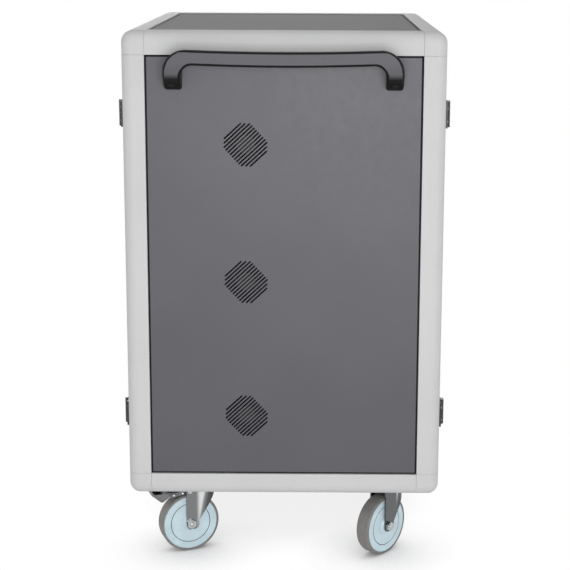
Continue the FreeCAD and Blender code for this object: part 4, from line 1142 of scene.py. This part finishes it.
# %% [markdown]
# The studio
#
# The photograph is a cut-out on white with a faint shadow on the floor. A wide floor takes the shadow; for
# rays that come straight from the camera, or from shiny metal, it is mostly a plain white. Under the cabinet
# less of that white is mixed in, and less still where ambient occlusion finds parts close by, so the shadow
# there is partly the lamps' and partly painted shade. More light would whiten it too, but then the pale frame
# would lose its form.

# %% Floor
FLOOR_REACH = 30.0
FLOOR_GREY = grey(0.9)
FLOOR_ROUGHNESS = 0.9
FLOOR_WHITE = 0.82
CONTACT_REACH = 0.14
CONTACT_DEPTH = 1.5
SHADOW_REACH = (0.2, 0.36)


def seen_or_mirrored(finish):
    """1 for rays from the camera, from a mirror-like surface or through a clear one."""
    path = finish.node("ShaderNodeLightPath", {}, {})
    mirrored = path.output("Is Glossy Ray").larger(path.output("Is Transmission Ray"))
    return path.output("Is Camera Ray").larger(mirrored)


bpy.ops.object.select_all(action="DESELECT")
bpy.ops.mesh.primitive_circle_add(vertices=64, radius=FLOOR_REACH, fill_type="NGON", location=(0, 0, 0))
floor = bpy.context.object
floor.name = "studio_floor"
floor_finish = Finish.coat("floor_white")
floor_finish.surface({"Base Color": FLOOR_GREY, "Roughness": FLOOR_ROUGHNESS, "Specular IOR Level": 0.0})
glow = floor_finish.node("ShaderNodeEmission", {}, {"Color": grey(1.0), "Strength": 1.0})
shader_output = Signal(floor_finish, floor_finish.shader.outputs["BSDF"])
distance = floor_finish.node("ShaderNodeVectorMath", {"operation": "LENGTH"}, {0: floor_finish.place()})
far = floor_finish.ramp(distance.output("Value"), *SHADOW_REACH)
# Painted shade: less white is mixed in where ambient occlusion finds parts close by, which darkens the floor
# at the wheels.
nearness = floor_finish.node("ShaderNodeAmbientOcclusion", {"samples": 8}, {"Distance": CONTACT_REACH})
openness = nearness.output("AO")
# Less white is mixed in under the cabinet too, so the floor there is darker: partly the lamps' shadow, partly
# painted shade.
under_cabinet = FLOOR_WHITE + (1.0 - FLOOR_WHITE) * far
white_share = seen_or_mirrored(floor_finish) * (under_cabinet - CONTACT_DEPTH * (1.0 - openness))
floor_surface = floor_finish.node("ShaderNodeMixShader", {}, {0: white_share, 1: shader_output, 2: glow})
floor_finish.feed(floor_finish.tree.nodes["Material Output"].inputs["Surface"], floor_surface)
floor.data.materials.append(floor_finish.owner)
print("floor:", floor.name, "reaches", FLOOR_REACH, "m")

# %% White world
WORLD_LIGHT = 0.42
bpy.context.scene.world = bpy.data.worlds.new("studio_world")
world = Finish(bpy.context.scene.world, "Background")
world_strength = WORLD_LIGHT + (1 - WORLD_LIGHT) * seen_or_mirrored(world)
world.surface({"Color": grey(1.0), "Strength": world_strength})
print("world:", bpy.context.scene.world.name, "lights with", WORLD_LIGHT)

# %% [markdown]
# Light
#
# The frame is lit evenly in the photograph, with no hard shadow on it, and the end panel is paler at its top.
# One small lamp would throw sharp edges, so wide square lamps stand all round, and the one in front is aimed
# at the upper edge.


# %% Soft lamps
def soft_lamp(name, place, target, size, power):
    """Square lamp aimed at a point."""
    bpy.ops.object.select_all(action="DESELECT")
    bpy.ops.object.light_add(type="AREA", location=place)
    lamp = bpy.context.object
    lamp.name = name
    lamp.data.shape = "SQUARE"
    lamp.data.size = size
    lamp.data.energy = power
    lamp.rotation_euler = (Vector(target) - Vector(place)).to_track_quat("-Z", "Y").to_euler()


low, high = cad_box
MIDDLE = (0.0, 0.0, (low[2] + high[2]) / 2)
UPPER = (high[0], 0.0, high[2])
soft_lamp("front_lamp", place=(3.2, 0.3, 1.0), target=UPPER, size=1.5, power=43.0)
soft_lamp("left_lamp", place=(-1.1, -3.2, 0.8), target=MIDDLE, size=1.4, power=13.0)
soft_lamp("right_lamp", place=(-1.1, 3.2, 0.8), target=MIDDLE, size=1.4, power=13.0)
soft_lamp("top_lamp", place=(0.0, 0.0, 3.4), target=MIDDLE, size=1.6, power=5.0)
soft_lamp("back_lamp", place=(-3.2, -0.4, 0.9), target=MIDDLE, size=1.6, power=44.0)

# %% [markdown]
# The camera
#
# The upright edges run almost parallel in the picture while the top is seen from above, so the picture was
# taken from a little above the top with the lens shifted down. The distance, the turns and the shift come
# from the corners of the end panel and of the top panel, and hold to two or three pixels.

# %% Camera at the photograph's angle
SENSOR = 36.0
PICTURE = 570.0
FOCAL_PIXELS = 1439.46
AXIS_PIXEL = (314.36, 225.0)
CAMERA_DISTANCE = 2.7944
CAMERA_Y = 0.06995
CAMERA_RISE = 0.16749
CAMERA_YAW = 0.00348
CAMERA_PITCH = 0.19338
CAMERA_ROLL = 0.00459

end_face_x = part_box("posts_front")[1][0]
frame_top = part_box("corner_blocks")[1][2]
bpy.ops.object.camera_add()
camera = bpy.context.object
camera.location = (end_face_x + CAMERA_DISTANCE, CAMERA_Y, frame_top + CAMERA_RISE)
forward = Vector((
    -math.cos(CAMERA_PITCH) * math.cos(CAMERA_YAW),
    -math.cos(CAMERA_PITCH) * math.sin(CAMERA_YAW),
    -math.sin(CAMERA_PITCH),
))
level_turn = forward.to_track_quat("-Z", "Y")
camera.rotation_euler = (level_turn @ Quaternion((0.0, 0.0, 1.0), CAMERA_ROLL)).to_euler()
camera.data.sensor_width = SENSOR
camera.data.lens = FOCAL_PIXELS / PICTURE * SENSOR
camera.data.shift_x = 0.5 - AXIS_PIXEL[0] / PICTURE
camera.data.shift_y = AXIS_PIXEL[1] / PICTURE - 0.5
camera.data.clip_end = 100.0
bpy.context.scene.camera = camera
bpy.context.scene.view_settings.view_transform = "Standard"
print("camera lens", round(camera.data.lens, 1), "shift", round(camera.data.shift_y, 3))
